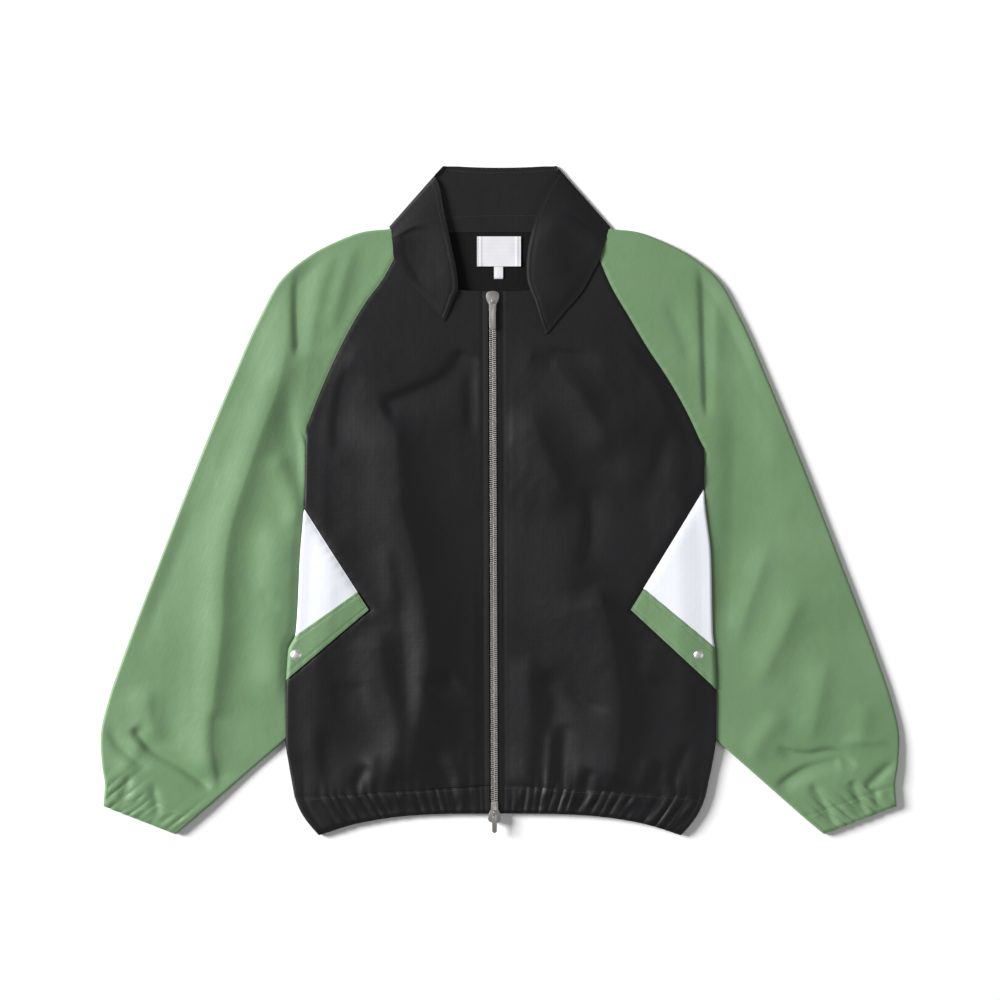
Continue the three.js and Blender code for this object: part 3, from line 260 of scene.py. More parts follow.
# %% The main folds of the body, as the fronts show them
BODY_FOLDS = [
    fold(7.4, (18, 50), (38, 18), (-104, -332), (-100, -290), (-90, -238), (-83, -195), (-83, -165),
         (-87, -128), (-94, -85), (-103, -48), (-113, -8), (-116, 40), (-121, 118), sharp=(1.9, 1.3),
         fade=(0.1, 0.13)),
    fold(5.0, 28, 16, (-137, -336), (-127, -302), (-119, -263), (-124, -244), (-136, -200), (-141, -140),
         fade=0.15),
    fold(-1.5, 10, 18, (-113, -336), (-108, -285), (-107, -210), (-112, -140), (-118, -80), fade=0.2),
    fold(1.4, 13, 8, (-117, -132), (-126, -90), (-132, -44)),
    fold(-2.9, 7, 26, (-139, 108), (-120, 117), (-96, 127), (-72, 138), (-52, 155), (-42, 178), sharp=1.7,
         fade=0.1),
    fold(-3.0, 9, 24, (-189, 40), (-186, 110), (-172, 168), sharp=1.8),
    fold(-1.8, 11, 22, (-193, -60), (-195, 62)),
    fold(-1.6, 7, 12, (-34, 70), (-36, 158), sharp=1.8),
    fold(-2.6, 13, 19, (-86, -224), (-48, -200)),
    fold(-1.4, 8, 26, (-198, -222), (-149, -214)),
    fold(-2.6, 7, 10, (-172, -336), (-150, -300), sharp=1.7),
    fold(1.5, 10, 8, (-152, -338), (-144, -286)),
    fold(-2.0, 8, 12, (-51, -338), (-69, -304), (-81, -276), sharp=1.7),
    fold(1.2, 8, 7, (-46, -340), (-50, -312), (-62, -290)),
    fold(-1.3, 8, 14, (-196, -336), (-204, -262)),
    fold(0.9, 12, 12, (-212, -322), (-220, -240)),
    fold(-2.4, 5, 15, (34, 179), (63, 172), (92, 169), (118, 158), sharp=1.7, fade=0.4),
    fold(-1.2, 5, 10, (34, 166), (52, 163), (66, 156), sharp=1.7),
    fold(3.5, 22, 14, (131, 44), (118, 76), (99, 112), (76, 138), (54, 152), sharp=(1.9, 1.5),
         fade=(0.25, 0.45)),
    fold(3.6, 28, 17, (88, -14), (66, 24), (48, 64), (32, 122), sharp=(1.9, 1.5)),
    fold(-2.8, 6, 17, (96, -84), (104, -26), (97, 24), sharp=1.7),
    fold(2.6, 22, 32, (163, 0), (146, 60), (131, 118)),
    fold(6.6, (40, 34), (18, 15), (125, -338), (137, -280), (139, -235), (131, -170), (122, -134), (110, -92),
         sharp=(1.9, 1.4), fade=0.12),
    fold(-2.3, 9, 8, (71, -203), (83, -220), (104, -235), (132, -240), sharp=1.6, fade=0.4),
    fold(2.4, 18, 12, (31, -338), (35, -263), (33, -172), fade=0.15),
    fold(-3.2, 14, 17, (58, -272), (62, -232), (50, -190)),
    fold(1.7, 6, 6, (55, -338), (60, -262), fade=0.2),
    fold(-2.4, 8, 12, (69, -338), (74, -252), sharp=1.7, fade=0.2),
    fold(-2.2, 6, 8, (92, -340), (107, -304), sharp=1.7),
    fold(-2.4, 8, 11, (192, -338), (220, -274), sharp=1.7),
    fold(1.6, 10, 9, (160, -336), (174, -290)),
    fold(-1.6, 8, 8, (176, -338), (186, -300), sharp=1.7),
    fold(2.4, 50, 26, (70, -165), (77, -68), (82, -12)),
    fold(1.6, 14, 18, (168, -214), (182, -156)),
    fold(-1.8, 9, 20, (176, 20), (196, 88)),
]

# %% The main folds of the sleeves
SLEEVE_FOLDS = [
    fold(7.0, (26, 26), (15, 19), (-326, -335), (-331, -290), (-331, -246), (-324, -185), (-319, -131),
         (-318, -90), (-313, -45), (-293, 24), (-273, 82), (-256, 128), (-246, 180), (-242, 225),
         (-243, 268), sharp=(1.9, 1.4), fade=(0.07, 0.25)),
    fold(3.0, 15, 13, (-228, -36), (-241, 13), (-262, 58), fade=0.2),
    fold(-3.0, 18, 12, (-229, -16), (-236, 50), (-243, 100), (-242, 152), sharp=1.8),
    fold(-2.4, 6, 13, (-319, -333), (-329, -280), (-327, -235), sharp=1.7, fade=0.2),
    fold(-2.6, 18, 24, (-425, -171), (-385, -68), (-351, 13)),
    fold(-5.4, 8, 5, (-424, -260), (-400, -286), (-368, -305), (-330, -333), sharp=1.6, fade=(0.1, 0.16)),
    fold(3.0, 18, 12, (-391, -284), (-405, -246), (-408, -208)),
    fold(-2.8, 9, 6, (-462, -250), (-439, -281), (-400, -312), sharp=1.7),
    fold(-2.6, 6, 6, (-437, -350), (-424, -312), sharp=1.7),
    fold(-2.4, 6, 5, (-392, -368), (-400, -322), sharp=1.7),
    fold(-0.8, 9, 6, (-273, -100), (-267, -117), (-250, -122), sharp=1.7),
    fold(-3.6, 4, 22, (-233, 162), (-235, 225), (-232, 290), sharp=1.6, fade=0.15),
    fold(1.9, 16, 9, (-226, 140), (-212, 220), (-196, 275), (-178, 308)),
    fold(2.0, 12, 9, (-198, 188), (-182, 250), (-166, 304)),
    fold(4.8, 24, 30, (-256, -240), (-259, -140), (-254, -10), fade=0.2),
    fold(2.0, 12, 10, (-440, -320), (-420, -292), (-412, -266)),
    fold(-4.6, 3.6, 24, (238, 92), (236, 150), (234, 210), (232, 285), sharp=1.5, fade=0.14),
    fold(1.8, 14, 10, (246, 90), (249, 160), (248, 240), sharp=(1.9, 1.5), fade=0.18),
    fold(-4.6, (15, 15), (44, 50), (259, -200), (264, -120), (270, -30), (273, 60), (271, 150), (267, 240),
         sharp=(1.6, 1.9), fade=(0.25, 0.16)),
    fold(3.0, 22, 12, (268, -178), (282, -131), (295, -95), (312, -36), sharp=(1.9, 1.5)),
    fold(2.8, 18, 12, (293, -222), (315, -177), (332, -143), (351, -95), sharp=(1.9, 1.5)),
    fold(2.6, 18, 12, (346, -284), (361, -258), (369, -217), (378, -172), sharp=(1.9, 1.5)),
    fold(2.2, 13, 13, (285, -312), (298, -280), (332, -240)),
    fold(-4.6, 4, 9, (318, -280), (330, -288), (351, -292), (385, -289), (412, -308), sharp=1.6, fade=0.2),
    fold(-4.8, 4.4, 9, (311, -339), (330, -322), (351, -309), (393, -297), sharp=1.6, fade=0.12),
    fold(-3.8, 5, 6, (420, -332), (440, -312), (462, -298), sharp=1.6, fade=0.12),
    fold(-3.4, 6, 5, (388, -386), (374, -352), (357, -322), sharp=1.6, fade=0.2),
    fold(-3.4, 5, 5, (422, -366), (412, -342), (403, -320), sharp=1.6, fade=0.2),
    fold(-2.8, 5, 5, (436, -364), (430, -328), sharp=1.6, fade=0.2),
    fold(1.4, 6, 6, (389, -277), (450, -276)),
    fold(-1.4, 8, 14, (222, 150), (208, 196), (190, 236)),
    fold(2.0, 22, 28, (330, 20), (300, 110), (272, 190)),
    fold(1.8, 14, 12, (412, -288), (424, -226)),
]

# %% Similar folds on the underside, which lies on the floor, so that each one only rises from it
UNDER_FOLDS = [
    fold(2.0, 14, 10, (-96, -60), (-80, 60), (-120, 180)),
    fold(1.4, 12, 8, (-46, -20), (-30, 120)),
    fold(1.8, 12, 9, (70, 20), (92, 110), (60, 200)),
    fold(2.0, 15, 10, (140, -170), (120, -60), (150, 60)),
    fold(1.8, 13, 9, (30, -300), (44, -200), (20, -90)),
    fold(1.9, 9, 14, (-150, -310), (-132, -230), (-150, -120)),
    fold(1.5, 8, 8, (-78, -310), (-64, -170)),
    fold(1.5, 9, 7, (110, -320), (96, -210)),
    fold(1.7, 14, 11, (-362, -180), (-340, -60), (-300, 60)),
    fold(1.5, 11, 9, (-330, -260), (-290, -120), (-262, 0)),
    fold(1.3, 10, 8, (-420, -290), (-400, -160)),
    fold(1.7, 15, 11, (360, -170), (322, -40), (296, 80)),
    fold(1.5, 11, 9, (330, -280), (306, -150), (270, -40)),
    fold(1.3, 10, 8, (416, -280), (396, -140)),
    fold(1.1, 9, 9, (-250, 200), (-190, 270)),
    fold(1.1, 9, 9, (252, 190), (190, 270)),
]
print("folds:", {"body": len(BODY_FOLDS), "sleeves": len(SLEEVE_FOLDS), "underneath": len(UNDER_FOLDS)})

# %% [markdown]
# ## Crumple
#
# Between its main folds, nylon is never quite flat: it keeps a faint net of small creases from having been
# worn and packed. A noise whose value is folded at zero gives just such thin ridges. A second, larger noise
# lets them come and go, because an even crumple looks like paper.


# %% Fine crumple from folded noise
def noise_at(x, y, size, layer, stretch=1.0):
    places = zip((np.ravel(x) / size).tolist(), (np.ravel(y) / (size * stretch)).tolist())
    values = [noise.noise((px, py, layer)) for px, py in places]
    return np.reshape(values, np.shape(x))


def crumple(x, y, layer):
    net = 0.32 - np.abs(noise_at(x, y, 30, layer, 1.5))
    small = 0.25 - np.abs(noise_at(x, y, 13, layer + 5, 1.3))
    patches = smooth(0.5 + 1.6 * noise_at(x, y, 85, layer + 9, 1.4))
    swell = noise_at(x, y, 62, layer + 13, 1.7)
    return 0.8 * swell + (0.15 + 0.6 * patches) * (0.8 * net + 0.3 * small)


def held_above(relief, depth):
    """Troughs level off before they reach the layer of cloth below."""
    return np.where(relief < 0, -depth * np.tanh(-relief / depth), relief)


# %% [markdown]
# ## Gathers
#
# The hem and the cuffs are casings over elastic. The elastic pulls the cloth into round puffs with narrow
# valleys between them, and the puffs run on above the casing and die out at different heights. One function
# of the distance along the seam makes them, so that the puffs of the casing and of the panel above it meet.


# %% Puffs along a gathered seam
def puffs(along, size, layer):
    warped = along + 0.3 * size * np.sin(along / (1.25 * size) + layer)
    warped = warped + 0.16 * size * np.sin(along / (0.53 * size) + 2.3 * layer)
    round_top = 2 * np.abs(np.sin(np.pi * warped / size)) ** 0.8 - 1.1
    strength = 0.7 + 0.35 * np.sin(along / (2.1 * size) + 1.7 * layer)
    strength = strength + 0.2 * np.sin(along / (0.9 * size) + layer)
    return round_top * strength


def puff_reach(along, size, layer):
    return 15 + 9 * np.sin(along / (1.4 * size) + layer) + 5 * np.sin(along / (0.8 * size) + 3 * layer)


def fading_puffs(along, above, size, layer):
    """What is left of the puffs at a height above their seam."""
    reach = puff_reach(along, size, layer)
    return puffs(along, size, layer) * np.exp(-((np.maximum(above, 0) / reach) ** 1.3))


BODY_PUFF, CUFF_PUFF = 12.5, 14.0
BODY_PUFF_HEIGHT, CUFF_PUFF_HEIGHT = 0.8, 0.75
UNDER_PUFF, UNDER_CUFF_PUFF = 19.5, 13.5


# %% [markdown]
# ## The levels of the cloth
#
# The fronts lie on the back, and the margins of the body lie on the sleeves, so the body is lifted there.
# These functions give the outer face of the fronts and of the back at any place, with their folds.


# %% The outer faces of the fronts and the back
def fold_drop(from_edge, width):
    along = 1 - np.clip(from_edge / width, 0, 1)
    return 1 - np.sqrt(np.maximum(0, 1 - along * along))


def below_armpit(side, y):
    return SIDES[side]["armpit"][1] - y


def margin_low(y):
    return smooth((y + 325) / 40)


def front_lift(side, y):
    return smooth((below_armpit(side, y) + 15) / 40) * margin_low(y)


def back_lift(side, y):
    return smooth((below_armpit(side, y) - 5) / 25) * margin_low(y)


def seam_closing(side, y):
    return smooth(below_armpit(side, y) / 25)


def side_seam_level(side, y):
    return mix(HEM_SEAM_LEVEL, SIDE_SEAM_LEVEL, front_lift(side, y))


def hem_rise(y):
    return smooth((-278 - y) / 48)


def centre_top(y):
    return FRONT_TOP + HEM_RISE * hem_rise(y)


def front_seams(side):
    facts = SIDES[side]
    bottom = (float(body_side[side](facts["welt_outer_bottom"])), facts["welt_outer_bottom"])
    return [[bottom, facts["welt_inner"]], raglan_path[side]]


def insert_seam(side):
    return [[SIDES[side]["insert_top"], SIDES[side]["welt_inner"]]]


def seam_dent(paths, x, y, rolled=0.0):
    """Cloth dips to a seam and the thread puckers it. A rolled seam also turns down on both sides."""
    dent = np.zeros(np.shape(x))
    for path in paths:
        away, along, _ = away_from(path, x, y)
        walked = along * path_length(path)
        pucker = 0.16 * np.sin(walked / 1.9 + 1.4 * np.sin(walked / 11)) * np.exp(-((away / 8) ** 2))
        dent += pucker - 0.6 * np.exp(-((away / 2.4) ** 2)) - rolled * np.exp(-((away / 6) ** 2))
    return dent


CHEST_RISE, CHEST_WIDTH = 2.2, 85
LEAF_TIP_Y, TROUGH_DEPTH, SLEEVE_TROUGH_DEPTH = 200, 3.4, 3.9


def front_relief(side, x, y):
    """What the folds, the crumple and the gathers add to a front's plain level."""
    sign, edge = SIDES[side]["sign"], body_side[side](y)
    from_zip = np.abs(sign * x - zip_x(y)) - FRONT_EDGE_FROM_ZIP
    above_casing = y - casing_top(x)
    relief = fold_height(BODY_FOLDS, sign * x, y) + CHEST_RISE * smooth(from_zip / CHEST_WIDTH)
    relief = relief + crumple(sign * x, y, SIDES[side]["front_crumple"])
    relief = np.where(relief > 0, relief * smooth((LEAF_TIP_Y - y) / 45), relief)
    from_raglan = away_from(raglan_path[side], x, y)[0]
    at_zip = smooth((from_zip - 6.5) / 12)
    relief = held_above(relief, TROUGH_DEPTH) * at_zip
    relief = relief * smooth((edge - x - 10) / 32) * smooth(from_raglan / 22)
    gathered = BODY_PUFF_HEIGHT * fading_puffs(x, above_casing, BODY_PUFF, sign + 2.0)
    return relief + gathered * at_zip * smooth((edge - x) / 16)


def placket(from_zip):
    """The front's edge is turned under and stitched, which leaves a low bead and a line beside it."""
    bead = 0.25 * np.exp(-((from_zip / 2.6) ** 2))
    return bead - 0.35 * np.exp(-(((from_zip - PLACKET_STITCH) / 1.7) ** 2))


def front_face(side, x, y, raised=0.0):
    """The height of the front at x outward from the middle."""
    sign, edge = SIDES[side]["sign"], body_side[side](y)
    near = front_lift(side, y) * smooth((x - edge + 75) / 60)
    base = FRONT_TOP + SIDE_RISE * near + HEM_RISE * hem_rise(y) * (1 - near)
    from_zip = np.abs(sign * x - zip_x(y)) - FRONT_EDGE_FROM_ZIP
    seam = CASING_SEAM * np.exp(-(((y - casing_top(x)) / 3.0) ** 2))
    top = base + front_relief(side, x, y) + placket(from_zip) - seam + raised * smooth((edge - x) / 6)
    closing = seam_closing(side, y) * fold_drop(edge - x, SIDE_FOLD_WIDTH)
    return mix(top, side_seam_level(side, y) + SEAM / 2, closing)


def back_face(side, x, y):
    """The height of the back's underside at x outward from the middle."""
    sign = SIDES[side]["sign"]
    from_edge = body_side[side](y) - x
    level = BACK_LIFT * back_lift(side, y) * (1 - smooth((from_edge - 12) / 14))
    calm = smooth((from_edge - 24) / 30) * smooth((y - casing_top(x)) / 14) * smooth((292 - y) / 40)
    inside_neck = smooth((np.hypot(x, y - 275) - 62) / 40)
    relief = fold_height(UNDER_FOLDS, sign * x, y) + np.maximum(0, crumple(sign * x, y, 31.0)) * 0.6
    fading = np.exp(-((np.maximum(y - casing_top(x), 0) / 22) ** 1.3))
    gathered = 0.9 * np.maximum(0, puffs(x, UNDER_PUFF, sign + 7.0) + 1.1) * fading
    gathered = gathered * smooth((from_edge - 6) / 16) * smooth((x - 12) / 18)
    level = level + relief * calm * inside_neck + gathered
    closing = seam_closing(side, y) * fold_drop(from_edge, SIDE_FOLD_WIDTH)
    return mix(level, side_seam_level(side, y) - SEAM / 2, closing)


# %% [markdown]
# ## Making a piece of cloth
#
# Each panel starts as a flat grid from bmesh, whose points are then moved onto the panel's own surface. Its
# thickness comes from a Solidify modifier that grows inwards, so the outer face stays where it was put. The
# grid also gets a UV map in metres along the panel's grain, because a weave follows the cloth and not the
# room.


# %% A grid of cloth on a surface
def spread(count, ends=0.55):
    """Shares from 0 to 1 that lie closer together at both ends."""
    t = np.linspace(0, 1, count)
    return mix(t, smooth(t), ends)


def sheet_of_cloth(name, place, downs, acrosses, grain=0.0, thickness=CLOTH, weld=False, up=True):
    """place(down, across) gives points in millimetres for two equal arrays."""
    bm = bmesh.new()
    bmesh.ops.create_grid(bm, x_segments=len(acrosses) - 1, y_segments=len(downs) - 1, size=0.5)
    flat = np.array([vert.co[:2] for vert in bm.verts])
    column = np.rint((flat[:, 0] + 0.5) * (len(acrosses) - 1)).astype(int)
    row = np.rint((flat[:, 1] + 0.5) * (len(downs) - 1)).astype(int)
    points = place(np.asarray(downs)[row], np.asarray(acrosses)[column])
    for vert, point in zip(bm.verts, points * MM):
        vert.co = point
    cosine, sine = math.cos(math.radians(grain)), math.sin(math.radians(grain))
    grain_map = bm.loops.layers.uv.new("Grain")
    for face in bm.faces:
        for loop in face.loops:
            px, py, _ = loop.vert.co
            loop[grain_map].uv = (px * cosine + py * sine, py * cosine - px * sine)
        face.smooth = True
    if weld:
        rim = [vert for vert in bm.verts if vert.is_boundary]
        bmesh.ops.remove_doubles(bm, verts=rim, dist=0.0006)
    for edge in bm.edges:
        edge.smooth = not edge.is_boundary
    bm.normal_update()
    tilt = sum(face.normal.z * face.calc_area() for face in bm.faces if weld is False)
    if (weld and points_inward(bm)) or (not weld and (tilt > 0) != up):
        bmesh.ops.reverse_faces(bm, faces=bm.faces)
    piece = finished(name, bm)
    wall = piece.modifiers.new("Cloth thickness", "SOLIDIFY")
    wall.thickness = thickness * MM
    wall.offset = -1.0
    wall.use_even_offset = False
    return piece


def points_inward(bm):
    """A tube's faces point inwards when its signed volume about its centre is negative."""
    centre = sum((vert.co for vert in bm.verts), Vector()) / len(bm.verts)
    volumes = [face.normal.dot(face.calc_center_median() - centre) * face.calc_area() for face in bm.faces]
    return sum(volumes) < 0


def finished(name, bm):
    mesh = bpy.data.meshes.new(name)
    bm.to_mesh(mesh)
    bm.free()
    piece = bpy.data.objects.new(name, mesh)
    bpy.context.scene.collection.objects.link(piece)
    return piece


def stands_for(piece, node, material, body="jacket"):
    """The piece takes the place of a CAD node: it gets its material and the body it rides on, and the node is
    hidden.
    """
    piece.data.materials.append(material)
    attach(piece, body)
    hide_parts(node)
    return piece


def stack(x, y, z):
    return np.stack([x, y, z], axis=-1)


# %% [markdown]
# ## Nylon taffeta
#
# Taffeta is a plain weave of fine smooth nylon threads, woven and then pressed under a hot roller. That
# gives a soft sheen, a colour that shifts a little from place to place, and a very fine grid. Real threads
# lie about 0.2 mm apart, far too fine to show, so the grid is drawn much coarser and very shallow. A wave
# texture makes one wave in every 2 pi / 20 of its scaled space, which here is one in 5.7 mm.

# %% Colour, and a helper that adds one node
def linear(hex_colour):
    parts = [int(hex_colour[i : i + 2], 16) / 255 for i in (1, 3, 5)]
    return tuple(p / 12.92 if p <= 0.04045 else ((p + 0.055) / 1.055) ** 2.4 for p in parts) + (1.0,)


def add_node(tree, kind, settings=None, **links):
    """Adds a node. settings are its properties or socket values, links the sockets that feed it."""
    node = tree.nodes.new(kind)
    for key, value in (settings or {}).items():
        if key in node.inputs:
            node.inputs[key].default_value = value
        else:
            setattr(node, key, value)
    for key, source in links.items():
        tree.links.new(source, node.inputs[key.replace("_", " ")])
    return node


def new_material(name):
    material = bpy.data.materials.new(name)
    material.use_nodes = True
    tree = material.node_tree
    tree.nodes.clear()
    output = tree.nodes.new("ShaderNodeOutputMaterial")
    shader = tree.nodes.new("ShaderNodeBsdfPrincipled")
    tree.links.new(shader.outputs["BSDF"], output.inputs["Surface"])
    return material, tree, shader


# %% Nylon taffeta in a colour
WEAVE_SCALE = 1 / 0.0009 / 20
print("the grid of the weave repeats every", round(2 * math.pi / 20 / WEAVE_SCALE / MM, 1), "mm")


def woven(tree, shader, normal, depth):
    """A plain weave on the Grain map, laid over the coarser bumps of the cloth."""
    grain = add_node(tree, "ShaderNodeUVMap", {"uv_map": "Grain"}).outputs["UV"]
    wave = {"Scale": WEAVE_SCALE, "Distortion": 0.4, "Detail": 1.0}
    warp = add_node(tree, "ShaderNodeTexWave", {**wave, "bands_direction": "X"}, Vector=grain)
    weft = add_node(tree, "ShaderNodeTexWave", {**wave, "bands_direction": "Y"}, Vector=grain)
    weave = add_node(tree, "ShaderNodeMath", {"operation": "MAXIMUM"})
    tree.links.new(warp.outputs["Fac"], weave.inputs[0])
    tree.links.new(weft.outputs["Fac"], weave.inputs[1])
    bump = {"Strength": 0.12, "Distance": depth}
    threads = add_node(tree, "ShaderNodeBump", bump, Height=weave.outputs["Value"], Normal=normal)
    tree.links.new(threads.outputs["Normal"], shader.inputs["Normal"])


def nylon(name, shade, light, roughness, sheen, specular, crinkled=0.2):
    material, tree, shader = new_material(name)
    place = add_node(tree, "ShaderNodeTexCoord").outputs["Object"]
    patches = {"Scale": 9.0, "Detail": 3.0, "Roughness": 0.55}
    cloudy = add_node(tree, "ShaderNodeTexNoise", patches, Vector=place)
    colour = add_node(tree, "ShaderNodeValToRGB", Fac=cloudy.outputs["Fac"])
    for element, position, value in zip(colour.color_ramp.elements, (0.3, 0.72), (shade, light)):
        element.position, element.color = position, linear(value)
    tree.links.new(colour.outputs["Color"], shader.inputs["Base Color"])
    small = {"Scale": 90.0, "Detail": 4.0, "Roughness": 0.6}
    crinkle = add_node(tree, "ShaderNodeTexNoise", small, Vector=place)
    bump = {"Strength": crinkled, "Distance": 0.0014}
    creases = add_node(tree, "ShaderNodeBump", bump, Height=crinkle.outputs["Fac"])
    woven(tree, shader, creases.outputs["Normal"], 0.0002)
    shine = {"To Min": roughness - 0.05, "To Max": roughness + 0.06}
    shine = add_node(tree, "ShaderNodeMapRange", shine, Value=cloudy.outputs["Fac"])
    tree.links.new(shine.outputs["Result"], shader.inputs["Roughness"])
    shader.inputs["IOR"].default_value = 1.53
    shader.inputs["Specular IOR Level"].default_value = specular
    shader.inputs["Sheen Weight"].default_value = sheen
    shader.inputs["Sheen Roughness"].default_value = 0.45
    return material


black_nylon = nylon("Black nylon taffeta", "#0b0a0d", "#111013", 0.53, 0.0, 0.31)
# The back's black is darker than the fronts': painted shade, so that the inside of the neck reads as dark as
# shade does. Its higher roughness and lower specular are a real matt finish.
black_nylon_matt_painted_shade = nylon("Black nylon taffeta, matt, darkened as painted neck shade", "#050506", "#080809", 0.66, 0.0, 0.18)
green_nylon = nylon("Green nylon taffeta", "#63835c", "#6e8d67", 0.5, 0.03, 0.4)
white_nylon = nylon("White nylon taffeta", "#dadee5", "#e3e6ec", 0.52, 0.03, 0.4, crinkled=0.1)
print("nylons:", [each.name for each in (black_nylon, black_nylon_matt_painted_shade, green_nylon, white_nylon)])


# %% [markdown]
# ## Sewing
#
# A lockstitch shows as a row of short round dashes of thread, about three to the centimetre here. A single
# dash is one small stretched ball. Every dash of a seam is a copy of it, turned
# along the seam.

# %% Thread, and a row of stitches along a line on the cloth
def thread(name, colour):
    material, tree, shader = new_material(name)
    place = add_node(tree, "ShaderNodeTexCoord").outputs["Object"]
    twist = add_node(tree, "ShaderNodeTexNoise", {"Scale": 900.0, "Detail": 2.0}, Vector=place)
    tint = {"blend_type": "MULTIPLY", "Fac": 0.25, "Color1": linear(colour)}
    tint = add_node(tree, "ShaderNodeMixRGB", tint, Color2=twist.outputs["Color"])
    tree.links.new(tint.outputs["Color"], shader.inputs["Base Color"])
    shader.inputs["Roughness"].default_value = 0.55
    shader.inputs["Sheen Weight"].default_value = 0.2
    return material


black_thread = thread("Black polyester thread", "#1a191c")
green_thread = thread("Green polyester thread", "#8fae86")
white_thread = thread("White polyester thread", "#e2e2e6")
STITCH_LENGTH, STITCH_GAP, STITCH_WIDTH, STITCH_REACH = 2.5, 0.8, 0.5, 1.2
STITCH_LIFT = np.array([0, 0, 0.1])


def dash_mesh():
    bm = bmesh.new()
    bmesh.ops.create_uvsphere(bm, u_segments=6, v_segments=4, radius=1)
    bmesh.ops.rotate(bm, verts=bm.verts, matrix=Matrix.Rotation(math.pi / 2, 3, "Y"))
    size = Vector((STITCH_LENGTH, STITCH_WIDTH, STITCH_WIDTH)) * (MM / 2)
    bmesh.ops.scale(bm, verts=bm.verts, vec=size)
    mesh = bpy.data.meshes.new("dash")
    bm.to_mesh(mesh)
    bm.free()
    return mesh


dash = dash_mesh()


def sewn(name, lines, material):
    """One piece with a dash of thread at every step along each line, a list of points in millimetres."""
    bm = bmesh.new()
    for line in lines:
        line = np.asarray(line, float)
        walked = np.concatenate([[0], np.cumsum(np.linalg.norm(np.diff(line, axis=0), axis=1))])
        step = STITCH_LENGTH + STITCH_GAP
        for at in np.arange(step, walked[-1] - step / 2, step):
            first, last = [
                Vector([np.interp(at + reach, walked, line[:, axis]) for axis in range(3)])
                for reach in (-STITCH_REACH, STITCH_REACH)
            ]
            centre = (first + last) / 2 * MM
            turn = (last - first).to_track_quat("X", "Z").to_matrix().to_4x4()
            before = len(bm.verts)
            bm.from_mesh(dash)
            bm.verts.ensure_lookup_table()
            bmesh.ops.transform(bm, verts=bm.verts[before:], matrix=Matrix.Translation(centre) @ turn)
    for face in bm.faces:
        face.smooth = True
    piece = finished(name, bm)
    piece.data.materials.append(material)
    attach(piece, "jacket")
    return piece


# %% [markdown]
# ## The fronts
#
# Each front runs from the zip to the side and is cut back at the pocket, where the welt and the white insert
# meet it. The outer edge is walked once from the casing up to the collar, with a row of the grid at every
# corner, so that the corners stay crisp.


# %% The outer edge of a front
def front_outline(side):
    facts = SIDES[side]

    def along_side(low, high):
        ys = np.linspace(low, high, max(3, int(abs(high - low) / 2.8)))
        return np.stack([body_side[side](ys), ys], axis=-1)

    def straight(start, end):
        t = np.linspace(0, 1, int(path_length([start, end]) / 2.8))[:, None]
        return np.array(start) * (1 - t) + np.array(end) * t

    bottom_y = facts["welt_outer_bottom"]
    bottom = (float(body_side[side](bottom_y)), bottom_y)
    runs = [
        along_side(CASING_SIDE[1], bottom_y),
        straight(bottom, facts["welt_inner"])[1:],
        straight(facts["welt_inner"], facts["insert_top"])[1:],
        along_side(facts["insert_top"][1], facts["armpit"][1])[1:],
        raglan_line[side](np.linspace(0, 1, 80))[1:],
    ]
    return np.concatenate(runs)


def front_piece(side):
    sign = SIDES[side]["sign"]
    outline = front_outline(side)
    walked = np.concatenate([[0], np.cumsum(np.hypot(*np.diff(outline, axis=0).T))]) / path_length(outline)

    def place(row, across):
        index = row.astype(int)
        outer_x, outer_y = outline[index, 0], outline[index, 1]
        centre_y = mix(CASING_CENTRE_Y, NECK_FRONT_Y, walked[index])
        centre_x = sign * zip_x(centre_y) + FRONT_EDGE_FROM_ZIP
        dip = NECK_DIP * np.sin(np.pi * across) * smooth(1 - (1 - walked[index]) / 0.2)
        x = mix(centre_x, outer_x, across)
        y = mix(centre_y, outer_y, across) - dip
        z = front_face(side, x, y) + seam_dent(front_seams(side), x, y)
        z = z + seam_dent(insert_seam(side), x, y, SEAM_ROLL)
        return stack(sign * x, y, z)

    piece = sheet_of_cloth(f"front_{side}_cloth", place, np.arange(len(outline)), spread(86))
    return stands_for(piece, f"front_{side}", black_nylon)


fronts = {side: front_piece(side) for side in SIDES}
print("points in a front:", {side: len(piece.data.vertices) for side, piece in fronts.items()})

# %% [markdown]
# ## Inserts and welts
#
# The white insert is a triangle that widens towards the pocket. The welt is a folded strip of the sleeve's
# green cloth, a little thicker than the panels, that closes the pocket and is stitched along both edges.


# %% The white inserts and the green welts
INSERT_FOOT = 0.175
WELT_STITCHES, WELT_CLOTH, WELT_GRAIN = (0.14, 0.86), 1.4, 43


